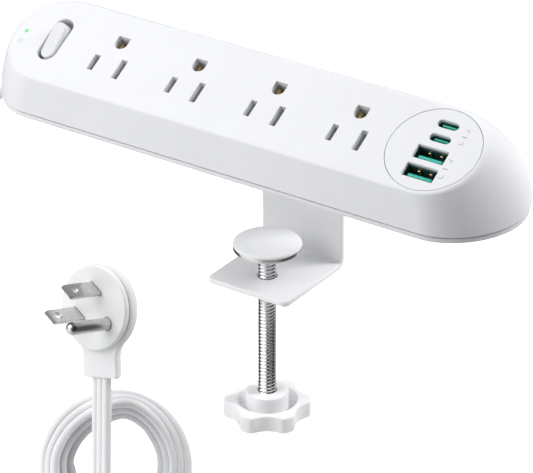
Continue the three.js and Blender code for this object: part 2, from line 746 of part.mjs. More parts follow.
// ---------------------------------------------------------------- cord
// Each station is a point on the cord's centre line and the way its flat side faces there.
function cordStations() {
  const stations = [];
  const vector = (x, y, z) => new THREE.Vector3(x, y, z);
  const station = (at, facing, frame = strip) => {
    const origin = frame.localToWorld(vector(0, 0, 0));
    stations.push({ at: frame.localToWorld(at), facing: frame.localToWorld(facing).sub(origin) });
  };
  // out of the back, round the switch end and down
  station(vector(grommetX, 19, grommetZ), vector(0, 0, 1));
  station(vector(grommetX, 35, grommetZ), vector(0, 0, 1));
  station(vector(grommetX, 40, grommetZ), vector(0, 0, 1));
  station(vector(grommetX, 45, grommetZ - 0.4), vector(0, 0, 1));
  station(vector(grommetX - 8, 54, grommetZ - 5), vector(0, 0.2, 1));
  station(vector(-112, 54, 0), vector(-0.2, 0.4, 0.9));
  station(vector(-134, 45, -11), vector(-0.4, 0.4, 0.8));
  station(vector(-151, 29, -25), vector(-0.6, 0.3, 0.7));
  station(vector(-160, 4, -42), vector(-0.8, 0, 0.6));
  station(vector(-148, -38, -64), vector(-0.8, -0.2, 0.6));
  station(vector(-108, -98, -90), vector(-0.7, -0.4, 0.6));
  station(vector(-54, -146, -107), vector(-0.4, -0.5, 0.8));
  station(vector(-38, -40, -13), vector(-0.6, -0.3, 0.75), lead);
  // the coil, from its back turn to its front turn
  const stepAngle = 24 * degree;
  const steps = Math.round((coil.end - coil.start) / stepAngle);
  for (let i = 0; i <= steps; i += 1) {
    const angle = THREE.MathUtils.lerp(coil.end, coil.start, i / steps);
    const past = (angle - coilDrop.to) / (2 * Math.PI) + 1;
    const dropShare = (coilDrop.to - coilDrop.from) / (2 * Math.PI);
    const turns = Math.floor(past) + THREE.MathUtils.smoothstep(past - Math.floor(past), 1 - dropShare, 1);
    const lean = coilTips.reduce((sum, tip) => {
      const away = THREE.MathUtils.euclideanModulo(angle - tip.at + Math.PI, 2 * Math.PI) - Math.PI;
      return sum + tip.lean * Math.exp(-((away / tip.spread) ** 2));
    }, coilLean);
    const reach = (cord.width - cord.thickness) / 2 * Math.cos(lean) + cord.thickness / 2;
    const radius = coil.outerRadius - reach - coil.drawIn * turns;
    const out = vector(Math.cos(angle), Math.sin(angle), 0);
    const facing = out.clone().multiplyScalar(Math.sin(lean)).setZ(Math.cos(lean));
    station(out.multiplyScalar(radius).setZ(-coil.stepBack * turns), facing, lead);
  }
  // straight up to the plug
  const inPlug = (beyond) => vector(cordOffsetInPlug, beyond - plugNeckLength, -cordDepthInPlug);
  const neck = lead.worldToLocal(plug.localToWorld(inPlug(-3)));
  const plugFacing = vector(Math.sin(plugYaw), 0, Math.cos(plugYaw));
  station(vector(6.5, -23.5, 3.2), vector(-0.1, -0.4, 0.9), lead);
  for (const drop of [44, 30, 10]) {
    station(vector(neck.x - 0.01 * drop, neck.y - drop, neck.z - 0.06 * drop), plugFacing.clone(), lead);
  }
  station(inPlug(-3), vector(0, 0, 1), plug);
  station(inPlug(1), vector(0, 0, 1), plug);
  station(inPlug(5.4), vector(0, 0, 1), plug);
  return stations;
}

function flatCord(stations, spacing) {
  const path = new THREE.CatmullRomCurve3(stations.map((s) => s.at), false, 'centripetal');
  const facings = new THREE.CatmullRomCurve3(stations.map((s) => s.facing), false, 'centripetal');
  const { width, thickness } = cord;
  const corner = thickness * 0.4;
  const outline = [[1, -1], [1, 1], [-1, 1], [-1, -1]].flatMap(([x, y]) => {
    const side = new THREE.Vector2(x * width / 2, y * (thickness / 2 - corner));
    const flat = new THREE.Vector2(x * (width / 2 - corner), y * thickness / 2);
    return x * y > 0 ? [side, flat] : [flat, side];
  });
  const rings = [];
  const addRing = (t) => {
    const centre = path.getPoint(t);
    const along = path.getTangent(t);
    const across = new THREE.Vector3().crossVectors(facings.getPoint(t), along).normalize();
    const up = new THREE.Vector3().crossVectors(along, across);
    rings.push(outline.map((p) => centre.clone().addScaledVector(across, p.x).addScaledVector(up, p.y)));
  };
  const spans = stations.length - 1;
  for (let i = 0; i < spans; i += 1) {
    const pieces = Math.max(1, Math.round(stations[i].at.distanceTo(stations[i + 1].at) / spacing));
    for (let piece = 0; piece < pieces; piece += 1) addRing((i + piece / pieces) / spans);
  }
  addRing(1);
  return loft(rings);
}

place('power_cord', flatCord(cordStations(), 7), whiteSoft);

// a flanged sleeve through the back wall, with a short tail
function cordGrommet() {
  const { width, height } = grommetSleeve;
  const flange = stadium(grommetFlange.width, grommetFlange.height);
  const sleeve = slab(stadium(width, height), 20.2, 37);
  const body = join([sleeve, slab(flange, 20.2, 22.2), slab(flange, 31.3, 33)]);
  const bore = slab(stadium(cord.width + 2 * gap, cord.thickness + 2 * gap), 15, 45);
  return cut(body, [bore]).rotateX(-Math.PI / 2).translate(grommetX, 0, grommetZ);
}

place('cord_grommet', cordGrommet(), whiteSoft);

// ---------------------------------------------------------------- wires inside the housing
function wire(points) {
  const section = new THREE.Shape();
  section.absarc(0, 0, 0.9, 0, 2 * Math.PI);
  const path = new THREE.CatmullRomCurve3(points.map(([x, y, z]) => new THREE.Vector3(x, y, z)));
  return new THREE.ExtrudeGeometry(section, { steps: 12, extrudePath: path, curveSegments: 4, bevelEnabled: false });
}

place('hot_wire', wire([[-87.5, 18, 12], [-88, 12, 9], [-89, 6, 8], [-89.5, 2, 9]]), wireColours.hot);
place('neutral_wire', wire([[-85, 18, 12], [-82, 8, 7], [-72, 0, 7], [-60, -3, 10]]), wireColours.neutral);
place('ground_wire', wire([[-82.5, 18, 12], [-78, 14, 10], [-70, 10, 12], [-60, 6, 16]]), wireColours.ground);

export default strip;
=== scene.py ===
"""Looks for the desk power strip. Shapes are worked out in millimetres in the part's frame: +X along the
strip towards the USB end, +Y to the back, +Z up, origin at the centre of the housing's underside."""
import math

import bmesh
import bpy
from mathutils import Euler, Matrix, Vector


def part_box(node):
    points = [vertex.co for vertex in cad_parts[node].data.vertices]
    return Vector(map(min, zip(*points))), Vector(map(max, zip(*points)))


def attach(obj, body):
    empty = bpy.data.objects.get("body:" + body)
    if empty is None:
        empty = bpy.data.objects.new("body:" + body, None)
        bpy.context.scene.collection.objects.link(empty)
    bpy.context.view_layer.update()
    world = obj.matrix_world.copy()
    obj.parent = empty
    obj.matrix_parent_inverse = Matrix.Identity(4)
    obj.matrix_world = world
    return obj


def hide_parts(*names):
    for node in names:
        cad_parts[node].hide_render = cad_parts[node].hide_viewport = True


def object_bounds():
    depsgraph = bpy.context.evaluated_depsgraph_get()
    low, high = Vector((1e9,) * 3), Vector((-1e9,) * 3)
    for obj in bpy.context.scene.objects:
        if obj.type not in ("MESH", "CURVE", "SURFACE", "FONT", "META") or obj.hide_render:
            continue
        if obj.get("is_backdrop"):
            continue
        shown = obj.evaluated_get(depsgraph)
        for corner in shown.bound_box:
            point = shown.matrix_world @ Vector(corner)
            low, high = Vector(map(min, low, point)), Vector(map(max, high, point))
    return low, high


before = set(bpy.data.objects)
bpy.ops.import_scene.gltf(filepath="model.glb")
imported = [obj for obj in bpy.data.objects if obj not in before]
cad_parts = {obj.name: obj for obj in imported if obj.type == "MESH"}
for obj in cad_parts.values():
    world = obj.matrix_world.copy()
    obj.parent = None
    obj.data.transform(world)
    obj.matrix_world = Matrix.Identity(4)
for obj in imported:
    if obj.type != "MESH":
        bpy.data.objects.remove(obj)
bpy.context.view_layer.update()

MM = 0.001
TAU = 2 * math.pi
QUARTER = math.pi / 2
GAP = 0.3  # room between neighbouring pieces


# ---------------------------------------------------------------- places read from the frame
def box(node):
    low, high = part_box(node)
    return low / MM, high / MM


def middle(node):
    low, high = box(node)
    return (low + high) / 2


# ---------------------------------------------------------------- driving dimensions
FACE_TILT = math.radians(30)
FACE_CENTRE = (0, -13.2, 29.6)
FACE_RADIUS = 20.5
FACE_HALF_LENGTH = 88.9  # from the middle to the centre of each round end
FACE = Matrix.Translation(FACE_CENTRE) @ Matrix.Rotation(FACE_TILT, 4, "X")
BASE_HALF_LENGTH = 93.5
BASE_END_REACH = 26.7
BASE_HALF_DEPTH = 30.95
END_ROUNDNESS = 1.9  # 2 would be a true half circle seen from above
DOME_SHOULDER = 1.95
DOME_LIP = 1.19
WALL = 2.4
RIM_FILLET = 1.3
SEAM_Z = 2.5
SEAM_GAP = 0.4
SEAM_TUCK = 0.5

# on the sloping face: X along it, Y up the slope
OUTLET_PITCH = 37.8
FIRST_OUTLET_X = -60.65
OUTLET_X = [FIRST_OUTLET_X + OUTLET_PITCH * i for i in range(4)]
BETWEEN_OUTLETS = [FIRST_OUTLET_X + OUTLET_PITCH * (i - 0.5) for i in range(5)]
BLADE_LINE_Y = -5.22
BLADE_HALF_SPAN = 6.35
GROUND_OFFSET = 11.9
SWITCH_X = -89.55
LIGHT_X = -104.15
LIGHT_RADIUS = 0.75
PLATE_RADIUS = 19
PLATE_THICKNESS = 1.5
PLATE_AT = FACE @ Matrix.Translation((FACE_HALF_LENGTH, 0, 0))
TYPE_C_PORTS = (12, 5.3)
TYPE_A_PORTS = (-2.4, -11.1)
TYPE_C = (9, 3.4, 1.7)  # width, height, corner radius
TYPE_A = (13.4, 6, 0.5)
PORT_FLOOR = -8

CLAMP_AXIS = middle("clamp_screw")
CLAMP_AT = Matrix.Translation((CLAMP_AXIS.x, CLAMP_AXIS.y, 0))
THREAD_PITCH = 1.6
THREAD_DEPTH = 0.6
CORD_WIDTH = 8.4
CORD_THICKNESS = 3.2
FACING_BACK = Matrix.Rotation(-QUARTER, 4, "X")  # turns an outline's Z to +Y


# ---------------------------------------------------------------- mesh helpers
def make_object(name, points, faces, material, sharp=35, matrix=None):
    """A piece from millimetre points, smooth apart from edges sharper than the angle."""
    mesh = bpy.data.meshes.new(name)
    placed = [(matrix @ Vector(p) if matrix else Vector(p)) * MM for p in points]
    mesh.from_pydata([tuple(p) for p in placed], [], faces)
    clean = bmesh.new()
    clean.from_mesh(mesh)
    bmesh.ops.remove_doubles(clean, verts=clean.verts, dist=1e-7)
    bmesh.ops.recalc_face_normals(clean, faces=clean.faces)
    clean.to_mesh(mesh)
    clean.free()
    piece = bpy.data.objects.new(name, mesh)
    bpy.context.scene.collection.objects.link(piece)
    if material:
        mesh.materials.append(material)
    shade(piece, sharp)
    return piece


def shade(piece, sharp):
    piece.data.shade_smooth()
    piece.data.set_sharp_from_angle(angle=math.radians(sharp))


def loft(rings, capped=True):
    """Points and faces of a skin over rings that all have the same number of points."""
    count = len(rings[0])
    points = [p for ring in rings for p in ring]
    faces = []
    for r in range(len(rings) - 1):
        low, high = r * count, (r + 1) * count
        for i in range(count):
            j = (i + 1) % count
            faces.append((low + i, low + j, high + j, high + i))
    if capped:
        faces.append(tuple(reversed(range(count))))
        faces.append(tuple(range(len(points) - count, len(points))))
    return points, faces


def turned(profile, sides=96):
    """Points and faces turned about Z from (radius, z) points; a profile off the axis is a closed loop."""
    on_axis = profile[0][0] < 1e-6
    points, faces = [], []
    for radius, z in profile:
        for i in range(sides):
            angle = TAU * i / sides
            points.append((radius * math.cos(angle), radius * math.sin(angle), z))
    spans = len(profile) - (1 if on_axis else 0)
    for r in range(spans):
        low, high = r * sides, ((r + 1) % len(profile)) * sides
        for i in range(sides):
            j = (i + 1) % sides
            faces.append((low + i, low + j, high + j, high + i))
    return points, faces


def arc(cx, cy, radius, start, end, steps):
    """Points on an arc; angles in degrees."""
    angles = [math.radians(start + (end - start) * i / steps) for i in range(steps + 1)]
    return [(cx + radius * math.cos(a), cy + radius * math.sin(a)) for a in angles]


def rounded_rectangle(width, height, radius, x=0, y=0, steps=8):
    right, top = width / 2 - radius, height / 2 - radius
    outline = []
    for sx, sy, start in ((1, 1, 0), (-1, 1, 90), (-1, -1, 180), (1, -1, 270)):
        outline += arc(x + sx * right, y + sy * top, radius, start, start + 90, steps)
    return outline


def stadium(width, height, x=0, y=0, steps=14):
    return rounded_rectangle(width, height, min(width, height) / 2 - 1e-3, x, y, steps)


def circle(x, y, radius, sides):
    """Points all round a circle, without a repeated last point."""
    return arc(x, y, radius, 0, 360 - 360 / sides, sides - 1)


def moved(outline, x, y):
    return [(px + x, py + y) for px, py in outline]


def offset(outline, distance):
    """The outline moved outwards along its own normals; the outline runs anticlockwise."""
    result = []
    count = len(outline)
    for i, (x, y) in enumerate(outline):
        before, after = outline[i - 1], outline[(i + 1) % count]
        along = Vector((after[0] - before[0], after[1] - before[1])).normalized()
        result.append((x + along.y * distance, y - along.x * distance))
    return result


def even_outline(outline, count, smoothing=0):
    """The closed outline with evenly spaced points, its corners softened by averaging."""
    closed = [Vector(p) for p in outline] + [Vector(outline[0])]
    lengths = [0]
    for a, b in zip(closed, closed[1:]):
        lengths.append(lengths[-1] + (b - a).length)
    points, span = [], 0
    for i in range(count):
        target = lengths[-1] * i / count
        while lengths[span + 1] < target:
            span += 1
        share = (target - lengths[span]) / max(lengths[span + 1] - lengths[span], 1e-9)
        points.append(closed[span].lerp(closed[span + 1], share))
    for _ in range(smoothing):
        points = [(points[i - 1] + points[i] * 2 + points[(i + 1) % count]) / 4 for i in range(count)]
    return [tuple(p) for p in points]


def at_height(outline, z):
    return [(x, y, z) for x, y in outline]


def edge_round(radius, steps):
    """Steps over a rounded edge, each as how far it is from the side and how far from the top."""
    angles = [QUARTER * i / steps for i in range(steps + 1)]
    return [(radius * (1 - math.cos(a)), radius * (1 - math.sin(a))) for a in angles]


def prism(outline, bottom, top):
    return loft([at_height(outline, bottom), at_height(outline, top)])


def rounded_slab(outline, bottom, top, top_round, bottom_round=0, steps=4):
    """Rings of an upright slab whose top and bottom edges are rounded."""
    rings = []
    if bottom_round:
        for rise, inset in edge_round(bottom_round, steps):
            rings.append(at_height(offset(outline, -inset), bottom + rise))
    else:
        rings.append(at_height(outline, bottom))
    for inset, drop in edge_round(top_round, steps):
        rings.append(at_height(offset(outline, -inset), top - drop))
    return rings


def flared(outline, bottom, top, flare):
    """Points and faces of a hole cutter that opens out at the surface, which leaves a rounded lip."""
    clear = 0.03  # keeps the widest ring out of the surface, which the boolean handles badly
    rings = [at_height(outline, bottom)]
    for widening, drop in edge_round(flare, 3):
        rings.append(at_height(offset(outline, widening), top + clear - drop))
    rings.append(at_height(offset(outline, flare), top + 2))
    return loft(rings)


def joined(shapes):
    """The points and faces of several shapes as one list of each."""
    points, faces = [], []
    for some_points, some_faces in shapes:
        start = len(points)
        points += list(some_points)
        faces += [tuple(start + i for i in face) for face in some_faces]
    return points, faces


def combine(piece, shapes, matrix=None, operation="DIFFERENCE"):
    """Cuts the shapes, given as points and faces, out of the piece or unites them with it."""
    tool = make_object("tool", *joined(shapes), None, matrix=matrix)
    change = piece.modifiers.new(operation.lower(), "BOOLEAN")
    change.operation = operation
    change.solver = "EXACT"
    change.object = tool
    graph = bpy.context.evaluated_depsgraph_get()
    result = bpy.data.meshes.new_from_object(piece.evaluated_get(graph))
    piece.modifiers.clear()
    piece.data = result
    bpy.data.objects.remove(tool)
    clean = bmesh.new()
    clean.from_mesh(result)
    bmesh.ops.remove_doubles(clean, verts=clean.verts, dist=2e-6)
    bmesh.ops.dissolve_degenerate(clean, edges=clean.edges, dist=1e-6)
    clean.to_mesh(result)
    clean.free()


def close_ends(piece):
    """Fills the open rims of a mesh."""
    mesh = bmesh.new()
    mesh.from_mesh(piece.data)
    rims = [edge for edge in mesh.edges if edge.is_boundary]
    bmesh.ops.holes_fill(mesh, edges=rims)
    bmesh.ops.recalc_face_normals(mesh, faces=mesh.faces)
    mesh.to_mesh(piece.data)
    mesh.free()


def weighted(piece, sharp=35):
    """Large flat faces keep their own normals next to fillets."""
    shade(piece, sharp)
    change = piece.modifiers.new("normals", "WEIGHTED_NORMAL")
    change.keep_sharp = True


def stands_for(piece, body, slot_name, *nodes):
    """Ties the piece to its body and hides the CAD nodes whose place it takes; the slot name is not used.
    """
    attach(piece, body)
    if nodes:
        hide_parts(*nodes)


# ---------------------------------------------------------------- materials
class Graph:
    """Small wrapper that adds and links shader nodes."""

    def __init__(self, name):
        self.material = bpy.data.materials.new(name)
        self.material.use_nodes = True
        self.nodes = self.material.node_tree.nodes
        self.surface = self.nodes["Principled BSDF"]
        self.where = self.add("ShaderNodeTexCoord").outputs["Object"]

    def add(self, kind, **settings):
        node = self.nodes.new(kind)
        for key, value in settings.items():
            setattr(node, key, value)
        return node

    def link(self, output, target):
        self.material.node_tree.links.new(output, target)

    def set(self, **values):
        for key, value in values.items():
            self.surface.inputs[key.replace("_", " ")].default_value = value

    def noise(self, scale, detail=3, stretch=None):
        texture = self.add("ShaderNodeTexNoise")
        texture.inputs["Scale"].default_value = scale
        texture.inputs["Detail"].default_value = detail
        source = self.where
        if stretch:
            mapping = self.add("ShaderNodeMapping")
            mapping.inputs["Scale"].default_value = stretch
            self.link(source, mapping.inputs["Vector"])
            source = mapping.outputs["Vector"]
        self.link(source, texture.inputs["Vector"])
        return texture.outputs["Fac"]

    def spread(self, value, low, high):
        """The 0.3 to 0.7 middle of a noise, mapped to low .. high."""
        node = self.add("ShaderNodeMapRange")
        node.inputs["From Min"].default_value = 0.3
        node.inputs["From Max"].default_value = 0.7
        node.inputs["To Min"].default_value = low
        node.inputs["To Max"].default_value = high
        self.link(value, node.inputs["Value"])
        return node.outputs["Result"]

    def tint(self, value, dark, light):
        node = self.add("ShaderNodeMix", data_type="RGBA")
        node.inputs[6].default_value = (*dark, 1)
        node.inputs[7].default_value = (*light, 1)
        self.link(value, node.inputs[0])
        self.link(node.outputs[2], self.surface.inputs["Base Color"])

    def bump(self, height, strength, distance):
        node = self.add("ShaderNodeBump")
        node.inputs["Strength"].default_value = strength
        node.inputs["Distance"].default_value = distance
        self.link(height, node.inputs["Height"])
        self.link(node.outputs["Normal"], self.surface.inputs["Normal"])


def shade_of(colour, factor):
    return tuple(min(1, c * factor) for c in colour)


def moulded_plastic(name, colour, roughness, grain=2600, depth=0.00002, glow=0.0):
    """Injection moulded plastic: fine eroded texture, soft sheen changes and a faint drift of tone."""
    graph = Graph(name)
    graph.tint(graph.spread(graph.noise(35), 0, 1), shade_of(colour, 0.985), shade_of(colour, 1.01))
    sheen = graph.spread(graph.noise(420), roughness - 0.04, roughness + 0.05)
    graph.link(sheen, graph.surface.inputs["Roughness"])
    graph.bump(graph.noise(grain, 2), 0.16, depth)
    graph.set(Subsurface_Weight=glow, Subsurface_Scale=0.002, IOR=1.48)
    return graph.material


def powder_coat(name, colour):
    """Baked powder paint: orange peel over a smooth sheet."""
    graph = Graph(name)
    graph.tint(graph.spread(graph.noise(60), 0, 1), shade_of(colour, 0.98), shade_of(colour, 1.01))
    sheen = graph.spread(graph.noise(300), 0.34, 0.44)
    graph.link(sheen, graph.surface.inputs["Roughness"])
    graph.bump(graph.noise(1100, 1), 0.12, 0.00004)
    graph.set(Coat_Weight=0.15, Coat_Roughness=0.25)
    return graph.material


def metal(name, colour, roughness, stretch=(1, 1, 1), grain=900, strength=0.06):
    """Metal with fine drawn or rolled marks along one direction."""
    graph = Graph(name)
    marks = graph.noise(grain, 4, stretch)
    graph.tint(graph.spread(marks, 0, 1), shade_of(colour, 0.9), shade_of(colour, 1.05))
    sheen = graph.spread(graph.noise(250, 2, stretch), roughness * 0.8, roughness * 1.3)
    graph.link(sheen, graph.surface.inputs["Roughness"])
    graph.bump(marks, strength, 0.00003)
    graph.set(Metallic=1)
    return graph.material


def rubber(name, colour):
    """Dull rubber with a coarse grain."""
    graph = Graph(name)
    graph.tint(graph.spread(graph.noise(500), 0, 1), shade_of(colour, 0.85), shade_of(colour, 1.15))
    graph.bump(graph.noise(3000), 0.3, 0.00005)
    graph.set(Roughness=0.82)
    return graph.material


def circuit_board(name):
    """Solder mask over copper tracks, drawn by a brick pattern."""
    graph = Graph(name)
    tracks = graph.add("ShaderNodeTexBrick")
    graph.link(graph.where, tracks.inputs["Vector"])
    tracks.inputs["Scale"].default_value = 260
    tracks.inputs["Mortar Size"].default_value = 0.06
    graph.tint(tracks.outputs["Fac"], (0.012, 0.10, 0.055), (0.03, 0.2, 0.1))
    graph.bump(tracks.outputs["Fac"], 0.25, 0.00004)
    graph.set(Roughness=0.38)
    return graph.material


def light_lens(name):
    """Green lens with a soft glow of its own."""
    graph = Graph(name)
    graph.tint(graph.spread(graph.noise(1500), 0, 1), (0.10, 0.55, 0.2), (0.25, 0.8, 0.35))
    graph.set(Roughness=0.2, Emission_Color=(0.12, 0.7, 0.25, 1), Emission_Strength=0.25)
    return graph.material


shell_white = moulded_plastic("shell_white", (0.86, 0.868, 0.892), 0.36, glow=0.03)
tray_white = moulded_plastic("tray_white", (0.85, 0.857, 0.88), 0.42)
rocker_white = moulded_plastic("rocker_white", (0.79, 0.797, 0.82), 0.36)
recess_grey = moulded_plastic("recess_grey", (0.72, 0.73, 0.75), 0.5)
# Painted light: a lighter white than the shell's, standing in for the fill light that the knob and pad cap
# miss in the shade under the strip.
knob_white_painted_light = moulded_plastic("knob_white_painted_light", (0.94, 0.945, 0.955), 0.4, glow=0.03)
plug_white = moulded_plastic("plug_white", (0.915, 0.92, 0.93), 0.46, grain=1500, depth=0.00004, glow=0.04)
cord_white = moulded_plastic("cord_white", (0.9, 0.905, 0.92), 0.42, grain=900, depth=0.00005, glow=0.05)
carrier_grey = moulded_plastic("carrier_grey", (0.62, 0.63, 0.65), 0.55)
# Painted shade: a near-black green that stands for the dim inside of each port, where metal shells would
# sit.
port_painted_shade = moulded_plastic("port_painted_shade", (0.014, 0.06, 0.052), 0.3)
port_teal = moulded_plastic("port_teal", (0.045, 0.58, 0.46), 0.16)
black_plastic = moulded_plastic("black_plastic", (0.03, 0.032, 0.035), 0.45)
blue_disc = moulded_plastic("blue_disc", (0.03, 0.10, 0.38), 0.4)
hot_black = moulded_plastic("hot_black", (0.015, 0.015, 0.017), 0.45)
neutral_white = moulded_plastic("neutral_white", (0.8, 0.8, 0.8), 0.45)
ground_green = moulded_plastic("ground_green", (0.03, 0.32, 0.08), 0.45)
print_grey = moulded_plastic("print_grey", (0.46, 0.47, 0.49), 0.6)
# Painted light: a lighter white than the paint alone, standing in for the fill light that the bracket
# misses in the shade under the strip.
bracket_paint_painted_light = powder_coat("bracket_paint_painted_light", (0.95, 0.955, 0.965))
thread_steel = metal("thread_steel", (0.80, 0.80, 0.81), 0.16, stretch=(1, 1, 0.2))
disc_steel = metal("disc_steel", (0.74, 0.74, 0.75), 0.14, stretch=(0.3, 0.3, 1))
prong_nickel = metal("prong_nickel", (0.68, 0.67, 0.66), 0.3, (0.25, 0.25, 1), grain=1600, strength=0.1)
screw_zinc = metal("screw_zinc", (0.62, 0.62, 0.64), 0.3)
brass = metal("brass", (0.70, 0.50, 0.24), 0.3)
pad_rubber = rubber("pad_rubber", (0.26, 0.27, 0.29))
board_green = circuit_board("board_green")
lens_green = light_lens("lens_green")

# the start of a CAD node's name, and its finish where the node stays in view
NODE_FINISH = {
    "housing_screw": screw_zinc,
    "bracket_screw": screw_zinc,
    "rocker_pivot": screw_zinc,
    "base_pad": pad_rubber,
    "outlet_carrier": carrier_grey,
    "hot_bus": brass,
    "neutral_bus": brass,
    "switch_body": recess_grey,
    "usb_board": board_green,
    "power_board": board_green,
    "transformer": black_plastic,
    "capacitor": black_plastic,
    "surge_varistor": blue_disc,
    "hot_wire": hot_black,
    "neutral_wire": neutral_white,
    "ground_wire": ground_green,
}


def finish_cad_nodes():
    """Every CAD node that stays gets a procedural finish."""
    for name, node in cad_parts.items():
        for start, material in NODE_FINISH.items():
            if name.startswith(start):
                node.data.materials.clear()
                node.data.materials.append(material)


# ---------------------------------------------------------------- housing
ARC_POINTS = 41  # on each round end


def places_around():
    """Places around the housing: how far along it, -1 to 1, then the cosine and sine of its round end."""
    places = []
    for end, side in ((1, list(reversed(BETWEEN_OUTLETS))), (-1, BETWEEN_OUTLETS)):
        for i in range(ARC_POINTS):
            angle = (i / (ARC_POINTS - 1) - 0.5) * math.pi
            places.append((end, max(math.cos(angle), 0) * end, math.sin(angle) * end))
        places += [(x / FACE_HALF_LENGTH, 0, end) for x in side]
    return places


def housing_ring(rise, inset):
    """One ring of the housing: rise is 0 at the seam and 1 at the rim of the sloping face."""
    inwards = 1 - (1 - rise**DOME_SHOULDER) ** (1 / DOME_LIP)
    power = 2 / END_ROUNDNESS
    radius = FACE_RADIUS - inset
    ring = []
    for along, cos, sin in places_around():
        reach = (BASE_END_REACH - inset) * math.copysign(abs(cos) ** power, cos)
        depth = (BASE_HALF_DEPTH - inset) * math.copysign(abs(sin) ** power, sin)
        base = Vector((along * BASE_HALF_LENGTH + reach, depth, SEAM_Z))
        rim = FACE @ Vector((along * FACE_HALF_LENGTH + radius * cos, radius * sin, -inset))
        ring.append(Vector((
            base.x + (rim.x - base.x) * inwards,
            base.y + (rim.y - base.y) * inwards,
            base.z + (rim.z - base.z) * rise,
        )))
    return ring


def flat_ring(inset, z):
    """The housing's outline at the seam, at any height."""
    return [Vector((p.x, p.y, z)) for p in housing_ring(0, inset)]


def face_ring(inset):
    """A ring that lies in the sloping face, inset from its rim."""
    radius = FACE_RADIUS - inset
    return [
        FACE @ Vector((along * FACE_HALF_LENGTH + radius * cos, radius * sin, 0))
        for along, cos, sin in places_around()
    ]


def housing_cap(start):
    """Faces across a housing ring, parted between the outlets so that each holds only a few holes."""
    parts = len(BETWEEN_OUTLETS)
    back, left, front = ARC_POINTS, ARC_POINTS + parts, 2 * ARC_POINTS + parts
    last = front + parts - 1
    right_end = [last, *range(ARC_POINTS), back]
    left_end = [left - 1, *range(left, front), front]
    faces = [right_end, left_end]
    faces += [(back + k, back + k + 1, last - k - 1, last - k) for k in range(parts - 1)]
    return [tuple(start + i for i in face) for face in faces]


def housing_skin(rings):
    """A closed skin over housing rings."""
    points, faces = loft(rings, capped=False)
    return points, faces + housing_cap(0) + housing_cap(len(points) - len(rings[0]))


def ground_hole():
    """Round towards the blades, flat at the back, corners eased."""
    radius, back, corner = 2.85, 3.05, 0.5
    outline = arc(0, 0, radius, 180, 360, 20)
    outline += arc(radius - corner, back - corner, corner, 0, 90, 4)
    outline += arc(corner - radius, back - corner, corner, 90, 180, 4)
    return outline


def outlet_holes(bottom):
    """Cutters for a short slot, a long slot and a ground hole at every outlet."""
    corner, lip = 0.3, 0.25
    shapes = []
    for x in OUTLET_X:
        hot = rounded_rectangle(2.7, 7.6, corner, x - BLADE_HALF_SPAN, BLADE_LINE_Y, 3)
        neutral = rounded_rectangle(2.8, 9.4, corner, x + BLADE_HALF_SPAN, BLADE_LINE_Y, 3)
        ground = moved(ground_hole(), x, BLADE_LINE_Y + GROUND_OFFSET)
        shapes += [flared(outline, bottom, 0, lip) for outline in (hot, neutral, ground)]
    return shapes


def sleeve_way():
    """Places an outline across the cord's way out at the back, with its Z along +Y."""
    at = middle("cord_grommet")
    return Matrix.Translation((at.x, 0, at.z)) @ FACING_BACK


def housing():
    """Hollow top housing: outer skin, then cuts for its inside, outlets, switch, light, plate and cord."""
    rises = [0.03, 0.07, 0.12, 0.2, 0.3, 0.4, 0.5, 0.6, 0.7, 0.79, 0.86, 0.91]
    rings = [flat_ring(SEAM_TUCK + 0.35, SEAM_Z + SEAM_GAP / 2)]
    rings += [flat_ring(0.35, SEAM_Z + 0.3), flat_ring(0.1, SEAM_Z + 0.55)]
    rings += [housing_ring(rise, 0) for rise in rises]
    below, corner, above = housing_ring(0.955, 0), face_ring(0), face_ring(RIM_FILLET)
    for t in (0, 0.2, 0.4, 0.6, 0.8, 1):
        rings.append([
            p * (1 - t) ** 2 + c * 2 * t * (1 - t) + q * t * t for p, c, q in zip(below, corner, above)
        ])
    piece = make_object("housing_shell", *housing_skin(rings), shell_white)
    inner = [flat_ring(WALL, -1)] + [housing_ring(rise, WALL) for rise in (0, 0.35, 0.65, 0.88, 1)]
    combine(piece, [housing_skin(inner)])
    inside = -WALL - 1
    on_face = outlet_holes(inside)
    on_face.append(flared(stadium(8.5, 21, SWITCH_X), inside, 0, 0.45))
    on_face.append(flared(circle(LIGHT_X, 0, LIGHT_RADIUS + 0.1, 24), inside, 0, 0.15))
    combine(piece, on_face, FACE)
    plate_opening = circle(0, 0, PLATE_RADIUS - 2, 120)
    combine(piece, [prism(plate_opening, inside, 1)], PLATE_AT)
    plate_rim = circle(0, 0, PLATE_RADIUS + GAP * 0.7, 144)
    combine(piece, [flared(plate_rim, -PLATE_THICKNESS - GAP, 0, 0.2)], PLATE_AT)
    combine(piece, [prism(stadium(12, 6.8), 15, 40)], sleeve_way())
    weighted(piece)
    stands_for(piece, "strip", "white_shell", "top_housing")


def tray():
    """The base below the seam, with sunk places for its screws."""
    profile = [(1.1, 0), (0.5, 0.2), (0.15, 0.55), (0, 1.0), (0, 2.0), (0.12, 2.2), (0.4, 2.3)]
    rings = [flat_ring(SEAM_TUCK + inset, z) for inset, z in profile]
    piece = make_object("base_shell", *housing_skin(rings), tray_white)
    holes = []
    for i in range(1, 5):
        at = middle(f"housing_screw_{i}")
        holes.append(prism(circle(at.x, at.y, 3.5, 36), -1, 1.5))
    combine(piece, holes)
    weighted(piece)
    stands_for(piece, "strip", "white_soft_plastic", "base_tray")


